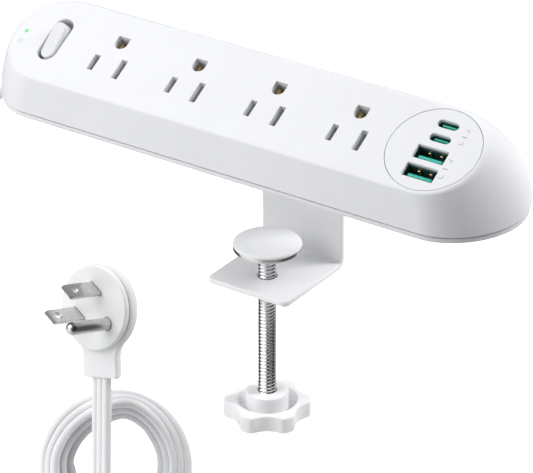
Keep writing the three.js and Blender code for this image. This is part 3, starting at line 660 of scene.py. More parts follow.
def ground_contacts():
    """Brass rail behind the outlets, with two leaves in every ground hole that lean in and flare out."""
    rail_y, rail_z, hole_y = 12.6, -15.4, BLADE_LINE_Y + GROUND_OFFSET
    middle_x = sum(OUTLET_X) / len(OUTLET_X)
    edge = 0.15
    rail = rounded_rectangle(127.4, 2.4, 0.4, middle_x, rail_y)
    rings = rounded_slab(rail, rail_z - 0.4, rail_z + 0.4, edge)
    piece = make_object("ground_contacts", *loft(rings), brass)
    # how far a leaf stands out from the middle of its hole, and at what height
    lean = [(3.2, rail_z), (3.2, -9), (2.4, -6.2), (1.6, -5.0), (1.4, -4.5), (1.6, -4.0), (2.1, -3.5)]
    for x in OUTLET_X:
        foot = rounded_rectangle(7, 8.2, 0.5, x, (rail_y + hole_y - 2.5) / 2)
        foot_rings = rounded_slab(foot, rail_z - 0.35, rail_z + 0.35, edge)
        combine(piece, [loft(foot_rings)], operation="UNION")
        leaves = []
        for side in (-1, 1):
            leaves.append(loft([
                at_height(rounded_rectangle(0.5, 4.6, 0.2, x + side * out, hole_y, 3), z) for out, z in lean
            ]))
        combine(piece, leaves, operation="UNION")
    piece.data.transform(Matrix.Scale(MM, 4) @ FACE @ Matrix.Scale(1 / MM, 4))
    shade(piece, 40)
    stands_for(piece, "strip", "brass", "ground_bus_bar")


# ---------------------------------------------------------------- face details
def usb_plate():
    """Round plate, flush with the face, with an opening for every port."""
    rings = rounded_slab(circle(0, 0, PLATE_RADIUS, 144), -PLATE_THICKNESS, 0, 0.25)
    piece = make_object("usb_plate", *loft(rings), shell_white, matrix=PLATE_AT)
    ports = [(TYPE_C, y) for y in TYPE_C_PORTS] + [(TYPE_A, y) for y in TYPE_A_PORTS]
    holes = []
    for (width, height, corner), y in ports:
        outline = rounded_rectangle(width, height, corner - 1e-3, 0, y, 7)
        holes.append(flared(outline, -PLATE_THICKNESS - 1, 0, 0.4))
    combine(piece, holes, PLATE_AT)
    weighted(piece)
    stands_for(piece, "strip", "white_shell", "usb_faceplate")


def port_shells():
    """Thin cups whose rims sit just below the plate, one per port; their near-black colour is painted shade
    for the dim inside of each port.
    """
    ports = [(TYPE_C, y, f"usb_c_shell_{i + 1}") for i, y in enumerate(TYPE_C_PORTS)]
    ports += [(TYPE_A, y, f"usb_a_shell_{i + 1}") for i, y in enumerate(TYPE_A_PORTS)]
    # up the outside, over the rim and down to the floor: inset from the opening, height
    wall = [(0.05, PORT_FLOOR), (0.05, -1.65), (0.2, -1.55), (0.4, -1.7), (0.4, PORT_FLOOR + 0.6)]
    for (width, height, corner), y, node in ports:
        rings = []
        for inset, z in wall:
            radius = max(corner - inset, 0.15)
            outline = rounded_rectangle(width - 2 * inset, height - 2 * inset, radius, 0, y, 7)
            rings.append(at_height(outline, z))
        piece = make_object(f"{node}_tube", *loft(rings), port_painted_shade, matrix=PLATE_AT)
        stands_for(piece, "strip", "port_shell", node)


def port_tongues():
    """Contact tongues: a slim one in each small port and a bar along the low side of each large one."""
    tongues = [(6.4, 0.8, y + 0.3, f"usb_c_tongue_{i + 1}") for i, y in enumerate(TYPE_C_PORTS)]
    tongues += [(10.8, 1.5, y - 1.1, f"usb_a_tongue_{i + 1}") for i, y in enumerate(TYPE_A_PORTS)]
    bottom, top = PORT_FLOOR + 0.7, -1.7
    for width, height, y, node in tongues:
        outline = rounded_rectangle(width, height, 0.49 * height, 0, y, 8)
        rings = rounded_slab(outline, bottom, top, 0.48 * height, steps=6)
        piece = make_object(f"{node}_bar", *loft(rings), port_teal, matrix=PLATE_AT)
        stands_for(piece, "strip", "port_tongue", node)


def port_contacts():
    """Gold spring contacts near the far wall of each large port."""
    shapes = []
    for y in TYPE_A_PORTS:
        for x in (-2.2, 3.0):
            outline = rounded_rectangle(1.4, 0.7, 0.3, x, y + 2.1, 3)
            shapes.append(loft(rounded_slab(outline, -6.5, -2.9, 0.25)))
    piece = make_object("port_contacts", *joined(shapes), brass, matrix=PLATE_AT)
    stands_for(piece, "strip", "brass")


def corner_mark(x, y, towards):
    """An L: an arm along X at y, and a leg that turns towards the other mark."""
    half = 0.14  # half the stroke's width
    side = math.copysign(half, towards - y)
    left, right = x - 0.8, x + 0.8
    return [
        (left, y - side), (right + half, y - side), (right + half, towards),
        (right - half, towards), (right - half, y + side), (left, y + side),
    ]


def printed_marks():
    """Plain printed marks: brackets and a bar beside each pair of ports, and a ring beside the light."""
    low, high = 0.005, 0.03
    x = FACE_HALF_LENGTH + 8.8
    leg = 1.4
    outlines = []
    for top, bottom in (TYPE_C_PORTS, TYPE_A_PORTS):
        outlines.append(corner_mark(x, top, top - leg))
        outlines.append(corner_mark(x, bottom, bottom + leg))
        outlines.append(rounded_rectangle(2.2, 0.5, 0.1, x, (top + bottom) / 2, 2))
    shapes = [prism(outline, low, high) for outline in outlines]
    ring_x, ring_y = LIGHT_X + 0.2, -5.2
    points, faces = turned([(0.8, low), (1.0, low), (1.0, high), (0.8, high)], 32)
    shapes.append(([(px + ring_x, py + ring_y, pz) for px, py, pz in points], faces))
    piece = make_object("printed_marks", *joined(shapes), print_grey, matrix=FACE)
    stands_for(piece, "strip", "dark_plastic")


def rocker():
    """Rocker with a slightly dished top; its sides draw in towards the top and its edges are rounded."""
    pivot_depth, tilt = 5, math.radians(11)
    outline = stadium(7.2, 17.5)
    draft, edge, dish = 0.55, 0.7, 0.25
    bottom, top = 1.6, 6.2
    rings = [at_height(outline, bottom)]
    for inset, drop in edge_round(edge, 6):
        rings.append(at_height(offset(outline, -draft - inset), top - drop))
    rim = rings[-1]
    for share in (0.75, 0.5, 0.25):
        rings.append([(x * share, y * share, top - dish * (1 - share**2)) for x, y, _ in rim])
    at = FACE @ Matrix.Translation((SWITCH_X, 0, -pivot_depth)) @ Matrix.Rotation(tilt, 4, "X")
    piece = make_object("rocker_cap", *loft(rings), rocker_white, 45, at)
    stands_for(piece, "rocker", "white_button", "rocker_button")


def light():
    """Light pipe with a low domed end."""
    bottom, height, steps = -4.9, 0.15, 8
    profile = [(0, bottom), (LIGHT_RADIUS, bottom), (LIGHT_RADIUS, 0)]
    for i in range(1, steps):
        angle = QUARTER * i / steps
        profile.append((LIGHT_RADIUS * math.cos(angle), height * math.sin(angle)))
    profile.append((0, height))
    at = FACE @ Matrix.Translation((LIGHT_X, 0, 0))
    piece = make_object("light_lens", *turned(profile, 32), lens_green, matrix=at)
    stands_for(piece, "strip", "power_light", "light_pipe")


def grommet():
    """Flanged sleeve with a ribbed tail."""
    low, high = box("cord_grommet")
    sleeve = stadium(11.4, 6.2)
    flange_start, flange_end, ribs = 31.3, 33.0, 4
    rings = [at_height(sleeve, low.y), at_height(sleeve, flange_start)]
    flange = [(1.3, flange_start), (1.6, flange_start + 0.3), (1.6, flange_end - 0.4), (1.3, flange_end)]
    rings += [at_height(offset(sleeve, out), y) for out, y in flange]
    rings.append(at_height(offset(sleeve, -0.1), flange_end))
    length = (high.y - flange_end) / ribs
    for i in range(ribs):
        start = flange_end + i * length
        for out, share in ((-0.3, 0.1), (-0.3, 0.4), (0, 0.5), (0, 0.9)):
            rings.append(at_height(offset(sleeve, out), start + length * share))
    bore = stadium(CORD_WIDTH + 0.6, CORD_THICKNESS + 0.6)
    rings += [at_height(bore, high.y), at_height(bore, low.y), at_height(sleeve, low.y)]
    piece = make_object("cord_sleeve", *loft(rings, capped=False), cord_white, matrix=sleeve_way())
    stands_for(piece, "strip", "white_soft_plastic", "cord_grommet")


# ---------------------------------------------------------------- clamp
def bracket():
    """A bent sheet: rounded rectangles swept along the sheet's centre line, drawn in at both free ends."""
    low, high = box("clamp_bracket")
    centre_x, half_width = (low.x + high.x) / 2, (high.x - low.x) / 2
    thickness = 2.5
    edge, corner, bend = 0.75, 3.0, 4.0
    front, back = low.y, high.y - thickness / 2
    top_z, jaw_z = high.z - thickness / 2, low.z + thickness / 2
    mid_bend = bend - thickness / 2
    flat = back - mid_bend - front
    upright = top_z - jaw_z - 2 * mid_bend
    quarter = mid_bend * math.pi / 2
    total = 2 * flat + 2 * quarter + upright

    def centre_line(s):
        """Place and outward normal on the sheet's centre line, as (y, z) pairs."""
        if s < flat:
            return (front + s, top_z), (0, 1)
        s -= flat
        if s < quarter:
            out, up = math.sin(s / mid_bend), math.cos(s / mid_bend)
            return (back - mid_bend * (1 - out), top_z - mid_bend * (1 - up)), (out, up)
        s -= quarter
        if s < upright:
            return (back, top_z - mid_bend - s), (1, 0)
        s -= upright
        if s < quarter:
            out, down = math.cos(s / mid_bend), math.sin(s / mid_bend)
            return (back - mid_bend * (1 - out), jaw_z + mid_bend * (1 - down)), (out, -down)
        s -= quarter
        return (back - mid_bend - s, jaw_z), (0, -1)

    def steps_over(start, length, count):
        return [start + length * k / count for k in range(1, count + 1)]

    end_steps = [inset for inset, _ in edge_round(corner, 10)]
    stations = end_steps + steps_over(0, flat, 4) + steps_over(flat, quarter, 8)
    stations += steps_over(flat + quarter, upright, 4)
    stations += steps_over(flat + quarter + upright, quarter, 8)
    stations += steps_over(total - flat, flat, 4)[:-1] + [total - s for s in reversed(end_steps)]
    rings = []
    for s in stations:
        from_end = min(s, total - s)
        near = max(corner - from_end, 0)
        half = half_width - corner + math.sqrt(max(corner**2 - near**2, 0))
        thin = max(edge - from_end, 0)
        depth = thickness - 2 * edge + 2 * math.sqrt(max(edge**2 - thin**2, 0))
        round_by = min(edge, depth / 2) * 0.98
        (y, z), (ny, nz) = centre_line(s)
        section = rounded_rectangle(2 * half, depth, round_by, steps=5)
        rings.append([(centre_x + px, y + ny * py, z + nz * py) for px, py in section])
    piece = make_object("bracket_sheet", *loft(rings), bracket_paint_painted_light, 50)
    jaw_hole = circle(0, 0, 4.05, 60)
    combine(piece, [flared(jaw_hole, low.z - 3, low.z + thickness, 0.25)], CLAMP_AT)
    for node in ("bracket_screw_left", "bracket_screw_right"):
        at = middle(node)
        combine(piece, [prism(circle(at.x, at.y, 4.1, 36), -10, -1.2)])
        combine(piece, [prism(circle(at.x, at.y, 2.3, 24), -10, 5)])
    weighted(piece, 50)
    stands_for(piece, "strip", "painted_steel", "clamp_bracket")


def pad_disc():
    """Metal disc with a bore for the rivet neck and a deeper pocket for its head."""
    low, high = box("pad_disc")
    bottom, top = low.z, high.z
    radius, bore, pocket = (high.x - low.x) / 2, 2.6, 3.8
    lower, upper = 0.5, 0.15  # how far the rim's edges are rounded
    profile = [(bore, bottom), (5, bottom)] + arc(radius - lower, bottom + lower, lower, -90, 0, 6)
    profile += arc(radius - upper, top - upper, upper, 0, 90, 3)
    profile += [(pocket, top), (pocket, top - 1.2), (bore, top - 1.2)]
    piece = make_object("pad_disc_metal", *turned(profile, 128), disc_steel, matrix=CLAMP_AT)
    stands_for(piece, "pad", "steel", "pad_disc")


def pad_cap():
    """White cap over the disc, with a well rounded upper edge."""
    low, high = box("pad_face")
    bottom, top = low.z, high.z
    radius, lower, upper = (high.x - low.x) / 2, 0.25, 0.8
    profile = [(0, bottom)] + arc(radius - lower, bottom + lower, lower, -90, 0, 3)
    profile += arc(radius - upper, top - upper, upper, 0, 90, 8) + [(radius * 0.6, top), (0, top)]
    piece = make_object("pad_cap", *turned(profile, 128), knob_white_painted_light, matrix=CLAMP_AT)
    stands_for(piece, "pad", "pad_cap", "pad_face")


def screw():
    """Rod with a real right-hand helical thread between its plain ends."""
    low, high = box("clamp_screw")
    root = (high.x - low.x) / 2 - THREAD_DEPTH
    neck_bottom = box("pad_disc")[0].z - GAP
    start, end = low.z + 0.6, neck_bottom - 0.5
    run_out = 0.8  # how far the thread fades at each end
    steps = 40
    turns = (end - start) / THREAD_PITCH
    # across one pitch: root, rising flank, crest, falling flank
    shape = [(0.0, 0), (0.1, 0), (0.34, 0.92), (0.42, 1), (0.66, 1), (0.74, 0.92)]
    per_row = len(shape)
    last_row = int(turns * steps) + 1 + steps
    points, faces = [], []
    for row in range(last_row + 1):
        angle = TAU * row / steps
        for share, height in shape:
            z = start + THREAD_PITCH * (row / steps - 1 + share)
            fade = min(1, max(0, (z - start) / run_out), max(0, (end - z) / run_out))
            radius = root + THREAD_DEPTH * height * fade
            z = min(max(z, start), end)
            points.append((radius * math.cos(angle), radius * math.sin(angle), z))
    for row in range(last_row):
        for k in range(per_row - 1):
            a = row * per_row + k
            faces.append((a, a + per_row, a + per_row + 1, a + 1))
        # the last profile point meets the first one of the same angle, a turn later
        if row + steps < last_row:
            a = row * per_row + per_row - 1
            b = (row + steps) * per_row
            faces.append((a, a + per_row, b + per_row, b))
    piece = make_object("threaded_rod", points, faces, thread_steel, 38, CLAMP_AT)
    close_ends(piece)
    core, neck, head, head_bottom = root - 0.02, 2.3, 3.5, high.z - 0.65
    profile = [(0, low.z), (core, low.z), (core, end + 0.2), (core, neck_bottom), (neck, neck_bottom)]
    profile += [(neck, head_bottom), (head, head_bottom), (head, high.z - 0.15)]
    profile += [(head - 0.3, high.z), (0, high.z)]
    combine(piece, [turned(profile, 48)], CLAMP_AT, "UNION")
    shade(piece, 38)
    stands_for(piece, "screw", "screw_steel", "clamp_screw")


def knob_outline(tip, valley, lobes):
    """Round lobe ends joined by scallops, their meeting corners softened."""
    half_scallop = math.radians(20.5)
    phase = math.radians(34.3)
    edge_x, edge_y = tip * math.cos(half_scallop), tip * math.sin(half_scallop)
    scallop_x = (edge_x**2 + edge_y**2 - valley**2) / (2 * (edge_x - valley))
    sweep = math.degrees(math.atan2(edge_y, scallop_x - edge_x))
    half_lobe = math.degrees(math.pi / lobes - half_scallop)
    rough = []
    for lobe in range(lobes):
        at = phase + lobe * TAU / lobes
        degrees = math.degrees(at)
        rough += arc(0, 0, tip, degrees - half_lobe, degrees + half_lobe, 8)
        between = at + math.pi / lobes
        away = math.degrees(between) + 180
        centre = scallop_x * math.cos(between), scallop_x * math.sin(between)
        rough += arc(*centre, scallop_x - valley, away + sweep, away - sweep, 16)[1:-1]
    return even_outline(rough, 48 * lobes, 14)


def knob():
    """Six narrow lobes with scallops between them, a ring-shaped recess and a raised hub."""
    low, high = box("clamp_knob")
    bottom, hub_top = low.z, high.z
    hub_rise, bore_depth = 4.3, 8.6
    rim_top, recess_floor = hub_top - hub_rise, bottom + 2.7
    recess, hub, bore, edge, foot = 12.4, 8.75, 4.05, 0.5, 0.4
    outline = knob_outline(18.1, 14.7, 6)
    rings = rounded_slab(outline, bottom, rim_top, 0.8, 0.9, 5)
    start = math.atan2(outline[0][1], outline[0][0])
    angles = [start + TAU * i / len(outline) for i in range(len(outline))]

    def ring(radius, z):
        rings.append([(radius * math.cos(a), radius * math.sin(a), z) for a in angles])

    for drop, widening in edge_round(edge, 4):
        ring(recess + widening, rim_top - drop)
    for radius, rise in ((recess, foot), (recess - foot, 0), (hub + foot, 0), (hub, foot)):
        ring(radius, recess_floor + rise)
    for inset, drop in edge_round(edge, 4):
        ring(hub - inset, hub_top - drop)
    ring(bore, hub_top)
    ring(bore, hub_top - bore_depth)
    piece = make_object("knob_body", *loft(rings), knob_white_painted_light, 40, CLAMP_AT)
    stands_for(piece, "screw", "knob_plastic", "clamp_knob")


# ---------------------------------------------------------------- plug
# the coil hangs in this frame: X to its right, Y up, Z out of it
COIL_CENTRE = (31.7, -139, -65.1)
LEAD = (
    Matrix.Translation(COIL_CENTRE)
    @ Matrix.Rotation(math.radians(34.3), 4, "Z")
    @ Matrix.Rotation(math.radians(90 - 27.8), 4, "X")
)
# the plug's frame: Z out of its face, the neck towards -Y
PLUG_PITCH = math.radians(5.3)
PLUG_YAW = math.radians(-38.2)
PLUG_ROLL = math.radians(1.5)
PLUG_FACE_THICKNESS = 2.4
PLUG = (
    Matrix.Translation(middle("plug_face"))
    @ LEAD.to_3x3().to_4x4()
    @ Matrix.Rotation(PLUG_PITCH, 4, "X")
    @ Matrix.Rotation(PLUG_YAW, 4, "Y")
    @ Matrix.Rotation(PLUG_ROLL, 4, "Z")
    @ Matrix.Translation((0, 0, PLUG_FACE_THICKNESS / 2))
)
NECK_LENGTH = 25.9
PRONG_TURN = math.radians(-41.3)
BLADE_OFFSET = 3.55  # from the middle of the face to the line of the blades
BLADE_WIDTH = 6.35
BLADE_THICKNESS = 1.5
GROUND_PIN_RADIUS = 2.4
CORD_DEPTH = 5.2  # the cord's centre line behind the face
CORD_OFFSET = -1.1


def plug_outline(inset):
    """Round body and straight neck seen from the front, drawn in by the inset all round."""
    body_radius, half, fillet, corner = 16.6 - inset, 8 - inset, 7 + inset, 0.7
    neck_end = inset - NECK_LENGTH
    fillet_x = half + fillet
    fillet_y = -math.sqrt((body_radius + fillet) ** 2 - fillet_x**2)
    meet = math.degrees(math.atan2(fillet_y, fillet_x))
    body = arc(0, 0, body_radius, meet, 180 - meet, 60)
    left = arc(-fillet_x, fillet_y, fillet, -meet, 0, 10)[1:]
    left += arc(corner - half, neck_end + corner, corner, 180, 270, 4)
    right = arc(half - corner, neck_end + corner, corner, 270, 360, 4)
    right += arc(fillet_x, fillet_y, fillet, 180, 180 + meet, 10)[:-1]
    return body + left + right


def plug_body():
    """Moulded body and neck with a well rounded back, and a pocket where the cord goes in."""
    front, back = -PLUG_FACE_THICKNESS - GAP, -8.2
    rings = []
    for rise, inset in edge_round(4.0, 10):
        rings.append(at_height(plug_outline(inset), back + rise))
    for inset, drop in edge_round(0.6, 4):
        rings.append(at_height(plug_outline(inset), front - drop))
    piece = make_object("plug_shell", *loft(rings), plug_white, matrix=PLUG)
    pocket = rounded_rectangle(CORD_WIDTH + 0.5, CORD_THICKNESS + 0.5, 1.8)
    neck_end = Matrix.Translation((CORD_OFFSET, -NECK_LENGTH, -CORD_DEPTH))
    combine(piece, [prism(pocket, -2, 5.5)], PLUG @ neck_end @ FACING_BACK)
    weighted(piece)
    stands_for(piece, "strip", "white_soft_plastic", "plug_body")


def prong_place(towards_ground, across):
    """A prong's own frame on the plug's face, its wide side along the line from blades to ground."""
    turn = Matrix.Rotation(PRONG_TURN, 4, "Z")
    return PLUG @ turn @ Matrix.Translation((towards_ground, across, 0))


def blade_place(side):
    return prong_place(-BLADE_OFFSET, -side * BLADE_HALF_SPAN)


def ground_place():
    return prong_place(GROUND_OFFSET - BLADE_OFFSET, 0)


def plug_disc():
    """Disc on the plug's face, with openings around the prongs."""
    radius, edge, bottom = 15.6, 0.7, -PLUG_FACE_THICKNESS
    profile = [(0, bottom), (radius - 0.4, bottom), (radius, bottom + 0.3)]
    profile += arc(radius - edge, -edge, edge, 0, 90, 7) + [(radius * 0.5, 0), (0, 0)]
    piece = make_object("plug_disc", *turned(profile, 144), plug_white, matrix=PLUG)
    through = -5
    combine(piece, [flared(circle(0, 0, GROUND_PIN_RADIUS + 0.15, 36), through, 0, 0.15)], ground_place())
    slot = rounded_rectangle(BLADE_WIDTH + 0.25, BLADE_THICKNESS + 0.3, 0.3, steps=3)
    for side in (-1, 1):
        combine(piece, [flared(slot, through, 0, 0.12)], blade_place(side))
    weighted(piece)
    stands_for(piece, "strip", "white_soft_plastic", "plug_face")


def blade(name, side, node):
    """Flat prong with a chamfered, tapered tip and a round hole."""
    root, length = -6, 16.7
    # height, then how far the wide and the narrow sides are drawn in
    stages = [(root, 0, 0), (length - 1.5, 0, 0), (length - 0.5, 0.35, 0.3), (length, 0.6, 0.55)]
    rings = []
    for z, wide_inset, narrow_inset in stages:
        width, thickness = BLADE_WIDTH - 2 * wide_inset, BLADE_THICKNESS - 2 * narrow_inset
        rings.append(at_height(rounded_rectangle(width, thickness, 0.18, steps=3), z))
    at = blade_place(side)
    piece = make_object(name, *loft(rings), prong_nickel, 30, at)
    hole_at = at @ Matrix.Translation((0, 0, 11.5)) @ Matrix.Rotation(QUARTER, 4, "X")
    combine(piece, [prism(circle(0, 0, 1.6, 30), -3, 3)], hole_at)
    weighted(piece, 30)
    stands_for(piece, "strip", "plated_prong", node)


def ground_pin():
    """Round pin with a domed end."""
    root, length, radius = -6, 20.8, GROUND_PIN_RADIUS
    profile = [(0, root), (radius, root)] + arc(0, length - radius, radius, 0, 90, 12)[:-1] + [(0, length)]
    piece = make_object("ground_prong", *turned(profile, 48), prong_nickel, matrix=ground_place())
    stands_for(piece, "strip", "plated_prong", "plug_ground_pin")


# ---------------------------------------------------------------- cord
COIL_OUTER_RADIUS = 28.2
COIL_DRAW_IN = 2.4  # per turn
COIL_STEP_BACK = 4.0  # per turn
COIL_START, COIL_END = math.radians(-45), math.radians(920)
COIL_STEP = math.radians(24)
COIL_LEAN = math.radians(8)
COIL_TIPS = [(74, 32, 48), (185, 35, 28)]  # where on the turn, how wide, how far it tips, in degrees
COIL_DROP = (200, 340)  # where a turn passes behind and inside the one before, in degrees


def smoothstep(value, low, high):
    """0 below low, 1 above high, and an even S between them."""
    t = min(max((value - low) / (high - low), 0), 1)
    return t * t * (3 - 2 * t)


def cord_stations():
    """Points on the cord's centre line, each with the way its flat side faces."""
    rear = middle("cord_grommet")
    x, z = rear.x, rear.z
    up = (0, 0, 1)
    # out of the sleeve, round the switch end and forwards under the coil
    way_round = [
        ((x, 19, z), up),
        ((x, 35, z), up),
        ((x, 40, z), up),
        ((x, 45, z - 0.4), up),
        ((x - 8, 54, z - 5), (0, 0.2, 1)),
        ((-112, 54, 0), (-0.2, 0.4, 0.9)),
        ((-134, 45, -11), (-0.4, 0.4, 0.8)),
        ((-151, 29, -25), (-0.6, 0.3, 0.7)),
        ((-160, 4, -42), (-0.8, 0, 0.6)),
        ((-148, -38, -64), (-0.8, -0.2, 0.6)),
        ((-108, -98, -90), (-0.7, -0.4, 0.6)),
        ((-54, -146, -107), (-0.4, -0.5, 0.8)),
    ]
    stations = [(Vector(at), Vector(facing)) for at, facing in way_round]
    turn = LEAD.to_3x3()

    def in_lead(at, facing):
        stations.append((LEAD @ Vector(at), turn @ Vector(facing)))

    in_lead((-38, -40, -13), (-0.6, -0.3, 0.75))
    steps = round((COIL_END - COIL_START) / COIL_STEP)
    drop_share = (COIL_DROP[1] - COIL_DROP[0]) / 360
    for i in range(steps + 1):
        angle = COIL_END + (COIL_START - COIL_END) * i / steps
        past = (angle - math.radians(COIL_DROP[1])) / TAU + 1
        turns = math.floor(past) + smoothstep(past - math.floor(past), 1 - drop_share, 1)
        lean = COIL_LEAN
        for at, spread, tip in COIL_TIPS:
            away = (angle - math.radians(at) + math.pi) % TAU - math.pi
            lean += math.radians(tip) * math.exp(-((away / math.radians(spread)) ** 2))
        reach = (CORD_WIDTH - CORD_THICKNESS) / 2 * math.cos(lean) + CORD_THICKNESS / 2
        radius = COIL_OUTER_RADIUS - reach - COIL_DRAW_IN * turns
        cos, sin = math.cos(angle), math.sin(angle)
        facing = (cos * math.sin(lean), sin * math.sin(lean), math.cos(lean))
        in_lead((cos * radius, sin * radius, -COIL_STEP_BACK * turns), facing)
    in_lead((6.5, -23.5, 3.2), (-0.1, -0.4, 0.9))

    def in_plug(beyond):
        return PLUG @ Vector((CORD_OFFSET, beyond - NECK_LENGTH, -CORD_DEPTH))

    neck = LEAD.inverted() @ in_plug(-3)
    neck_facing = (math.sin(PLUG_YAW), 0, math.cos(PLUG_YAW))
    for drop in (44, 30, 10):
        in_lead((neck.x - 0.01 * drop, neck.y - drop, neck.z - 0.06 * drop), neck_facing)
    plug_up = PLUG.to_3x3() @ Vector((0, 0, 1))
    stations += [(in_plug(-3), plug_up), (in_plug(1), plug_up), (in_plug(5.4), plug_up)]
    return stations


def spline(points, position):
    """Centripetal Catmull-Rom curve through the points, and its direction; position counts points."""
    i = min(int(position), len(points) - 2)
    t = position - i
    p1, p2 = points[i], points[i + 1]
    p0 = points[i - 1] if i > 0 else p1 * 2 - p2
    p3 = points[i + 2] if i + 2 < len(points) else p2 * 2 - p1
    d0, d1, d2 = (max(math.sqrt((b - a).length), 1e-4) for a, b in ((p0, p1), (p1, p2), (p2, p3)))
    m1 = ((p1 - p0) / d0 - (p2 - p0) / (d0 + d1) + (p2 - p1) / d1) * d1
    m2 = ((p2 - p1) / d1 - (p3 - p1) / (d1 + d2) + (p3 - p2) / d2) * d1
    c2 = p1 * -3 + p2 * 3 - m1 * 2 - m2
    c3 = p1 * 2 - p2 * 2 + m1 + m2
    return p1 + m1 * t + c2 * t * t + c3 * t**3, m1 + c2 * 2 * t + c3 * 3 * t * t


def cord_section():
    """A flat strip with round edges and two narrow grooves on each side, between its three cores."""
    radius = CORD_THICKNESS / 2
    spacing = (CORD_WIDTH - CORD_THICKNESS) / 2
    half_groove, depth = 0.45, 0.42
    top = arc(spacing, 0, radius, 0, 90, 7)
    for at in (spacing / 2, -spacing / 2):
        for share in (1, 0.5, 0.15, -0.15, -0.5, -1):
            top.append((at + share * half_groove, radius - depth * (1 - abs(share)) ** 1.3))
    top += arc(-spacing, 0, radius, 90, 180, 7)
    bottom = [(-x, -y) for x, y in top[1:-1]]
    return top + bottom


def cord():
    """The cord's section swept from inside the housing, round the coil and into the plug."""
    stations = cord_stations()
    points = [at for at, _ in stations]
    facings = [facing for _, facing in stations]
    section = cord_section()
    ring_spacing = 2.0
    rings = []
    for i in range(len(stations) - 1):
        parts = max(2, round((points[i + 1] - points[i]).length / ring_spacing))
        is_last = i == len(stations) - 2
        for k in range(parts + is_last):
            centre, along = spline(points, i + k / parts)
            facing, _ = spline(facings, i + k / parts)
            along.normalize()
            across = facing.cross(along).normalized()
            up = along.cross(across)
            rings.append([centre + across * x + up * y for x, y in section])
    piece = make_object("cord_jacket", *loft(rings), cord_white, 50)
    stands_for(piece, "strip", "cord_jacket", "power_cord")


# ---------------------------------------------------------------- studio
def area_light(name, at, towards, size, power):
    """A rectangular soft light; size in metres, power in watts."""
    data = bpy.data.lights.new(name, "AREA")
    data.shape = "RECTANGLE"
    data.size, data.size_y = size
    data.energy = power
    lamp = bpy.data.objects.new(name, data)
    lamp.location = at
    lamp.rotation_euler = (Vector(towards) - Vector(at)).to_track_quat("-Z", "Y").to_euler()
    bpy.context.scene.collection.objects.link(lamp)
    return lamp


# what shiny pieces see around them, by direction: share of a turn from -X, brightness
SHINY_BANDS = [
    (0.0, 0.06), (0.05, 0.06), (0.1, 1.0), (0.26, 0.95), (0.31, 0.42), (0.43, 0.36),
    (0.48, 0.08), (0.63, 0.08), (0.68, 0.85), (0.74, 0.85), (0.84, 0.08), (1.0, 0.06),
]


def shiny_bands(nodes, links, around):
    """Light and dark upright bands all round the part, as cards round a studio table would give."""
    gradient = nodes.new("ShaderNodeTexGradient")
    gradient.gradient_type = "RADIAL"
    links.new(around, gradient.inputs["Vector"])
    bands = nodes.new("ShaderNodeValToRGB")
    stops = bands.color_ramp.elements
    for place, _ in SHINY_BANDS[1:-1]:
        stops.new(place)
    for stop, (place, level) in zip(stops, SHINY_BANDS):
        stop.position = place
        stop.color = (level, level, level, 1)
    links.new(gradient.outputs["Fac"], bands.inputs["Fac"])
    return bands.outputs["Color"]


def backdrop_material():
    """Pale floor, white to the camera and banded to shiny surfaces."""
    graph = Graph("pale_floor")
    path = graph.add("ShaderNodeLightPath")
    pale = graph.spread(graph.noise(2), 0.66, 0.7)
    base = graph.add("ShaderNodeMix", data_type="FLOAT")
    graph.link(path.outputs["Is Glossy Ray"], base.inputs[0])
    graph.link(pale, base.inputs[2])
    base.inputs[3].default_value = 0.02
    graph.link(base.outputs[0], graph.surface.inputs["Base Color"])
    seen = graph.add("ShaderNodeMix", data_type="RGBA")
    graph.link(path.outputs["Is Camera Ray"], seen.inputs[0])
    graph.link(shiny_bands(graph.nodes, graph.material.node_tree.links, graph.where), seen.inputs[6])
    seen.inputs[7].default_value = (1, 1, 1, 1)
    graph.link(seen.outputs[2], graph.surface.inputs["Emission Color"])
    # it glows only for the camera and for shiny pieces
    shown = graph.add("ShaderNodeMath", operation="MAXIMUM")
    graph.link(path.outputs["Is Camera Ray"], shown.inputs[0])
    graph.link(path.outputs["Is Glossy Ray"], shown.inputs[1])
    graph.link(shown.outputs["Value"], graph.surface.inputs["Emission Strength"])
    graph.set(Roughness=0.9, Specular_IOR_Level=0.1)
    return graph.material


def soft_sky():
    """Even white light; shiny surfaces see the bands at reduced strength, and the camera sees white."""
    world = bpy.data.worlds.new("studio")
    world.use_nodes = True
    nodes, links = world.node_tree.nodes, world.node_tree.links
    path = nodes.new("ShaderNodeLightPath")
    bands = shiny_bands(nodes, links, nodes.new("ShaderNodeTexCoord").outputs["Generated"])
    colour = nodes.new("ShaderNodeMix")
    colour.data_type = "RGBA"
    colour.inputs[6].default_value = (0.985, 0.99, 1, 1)
    links.new(path.outputs["Is Glossy Ray"], colour.inputs[0])
    links.new(bands, colour.inputs[7])
    links.new(colour.outputs[2], nodes["Background"].inputs["Color"])
    strength = nodes.new("ShaderNodeMapRange")
    strength.inputs["To Min"].default_value = 0.53
    strength.inputs["To Max"].default_value = 1.0
    links.new(path.outputs["Is Camera Ray"], strength.inputs["Value"])
    links.new(strength.outputs["Result"], nodes["Background"].inputs["Strength"])
    return world


def flat_card(name, half_width, half_height, z):
    corners = [(-1, -1), (1, -1), (1, 1), (-1, 1)]
    mesh = bpy.data.meshes.new(name)
    mesh.from_pydata([(x * half_width, y * half_height, z) for x, y in corners], [], [(0, 1, 2, 3)])
    return mesh


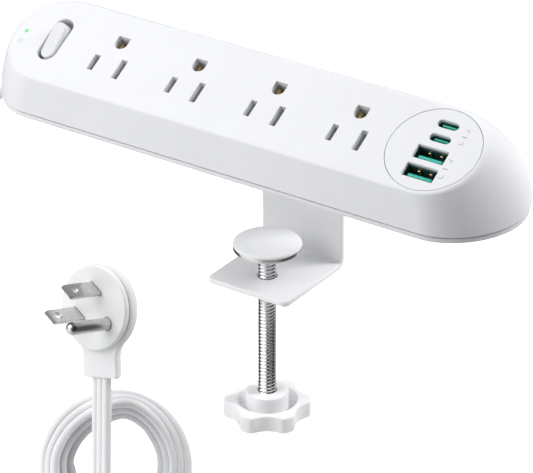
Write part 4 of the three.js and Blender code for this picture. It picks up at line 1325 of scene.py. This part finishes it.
def dark_flag(name, at, width, height):
    """A dark upright card beside the part that holds light back from the side it stands on."""
    mesh = flat_card(name, width / 2, height / 2, 0)
    card = bpy.data.objects.new(name, mesh)
    card.location = at
    card.rotation_euler = Vector((-at[0], -at[1], 0)).to_track_quat("Z", "Y").to_euler()
    graph = Graph(name)
    graph.tint(graph.spread(graph.noise(3), 0, 1), (0.02, 0.02, 0.022), (0.03, 0.03, 0.032))
    graph.set(Roughness=0.95, Specular_IOR_Level=0.0)
    mesh.materials.append(graph.material)
    card.visible_camera = False
    card.visible_shadow = False
    bpy.context.scene.collection.objects.link(card)
    card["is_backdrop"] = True


def studio():
    """Pale floor, white surroundings, a large soft light at the front left and a dark card at the right."""
    scene = bpy.context.scene
    scene.view_settings.view_transform = "Standard"
    scene.view_settings.look = "None"
    scene.world = soft_sky()
    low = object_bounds()[0]
    reach, drop = 6.0, 0.02
    floor = bpy.data.objects.new("floor", flat_card("floor", reach, reach, low.z - drop))
    floor.data.materials.append(backdrop_material())
    scene.collection.objects.link(floor)
    floor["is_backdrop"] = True
    dark_flag("flag_right", (0.34, -0.2, 0.03), 0.62, 1.2)
    aim = (0, 0, 0)
    area_light("key_above", (-0.75, -0.83, 1.0), aim, (1.6, 1.4), 15.6)
    area_light("low_front", (-0.55, -1.3, -0.02), (0, 0, -0.06), (0.9, 0.25), 1.2)
    rim = area_light("rim_right", (0.9, 0.75, 0.9), aim, (0.5, 0.8), 15)
    rim.visible_glossy = False


def camera():
    """The photographed view: from the right of the front, 28 degrees above the level."""
    target, distance = Vector((0.0494, -0.0663, 0.0041)), 1.2
    data = bpy.data.cameras.new("camera")
    data.sensor_width = 36
    data.lens = 217.65
    data.clip_start, data.clip_end = 0.05, 20
    view = bpy.data.objects.new("camera", data)
    turn = Euler((math.radians(62.22), 0, math.radians(34.28)))
    view.rotation_euler = turn
    back = turn.to_matrix() @ Vector((0, 0, 1))
    view.location = target + back * distance
    bpy.context.scene.collection.objects.link(view)
    bpy.context.scene.camera = view


# ---------------------------------------------------------------- build
finish_cad_nodes()
housing()
tray()
ground_contacts()
usb_plate()
port_shells()
port_tongues()
port_contacts()
printed_marks()
rocker()
light()
grommet()
bracket()
pad_disc()
pad_cap()
screw()
knob()
plug_body()
plug_disc()
blade("blade_hot", -1, "plug_blade_hot")
blade("blade_neutral", 1, "plug_blade_neutral")
ground_pin()
cord()
studio()
camera()
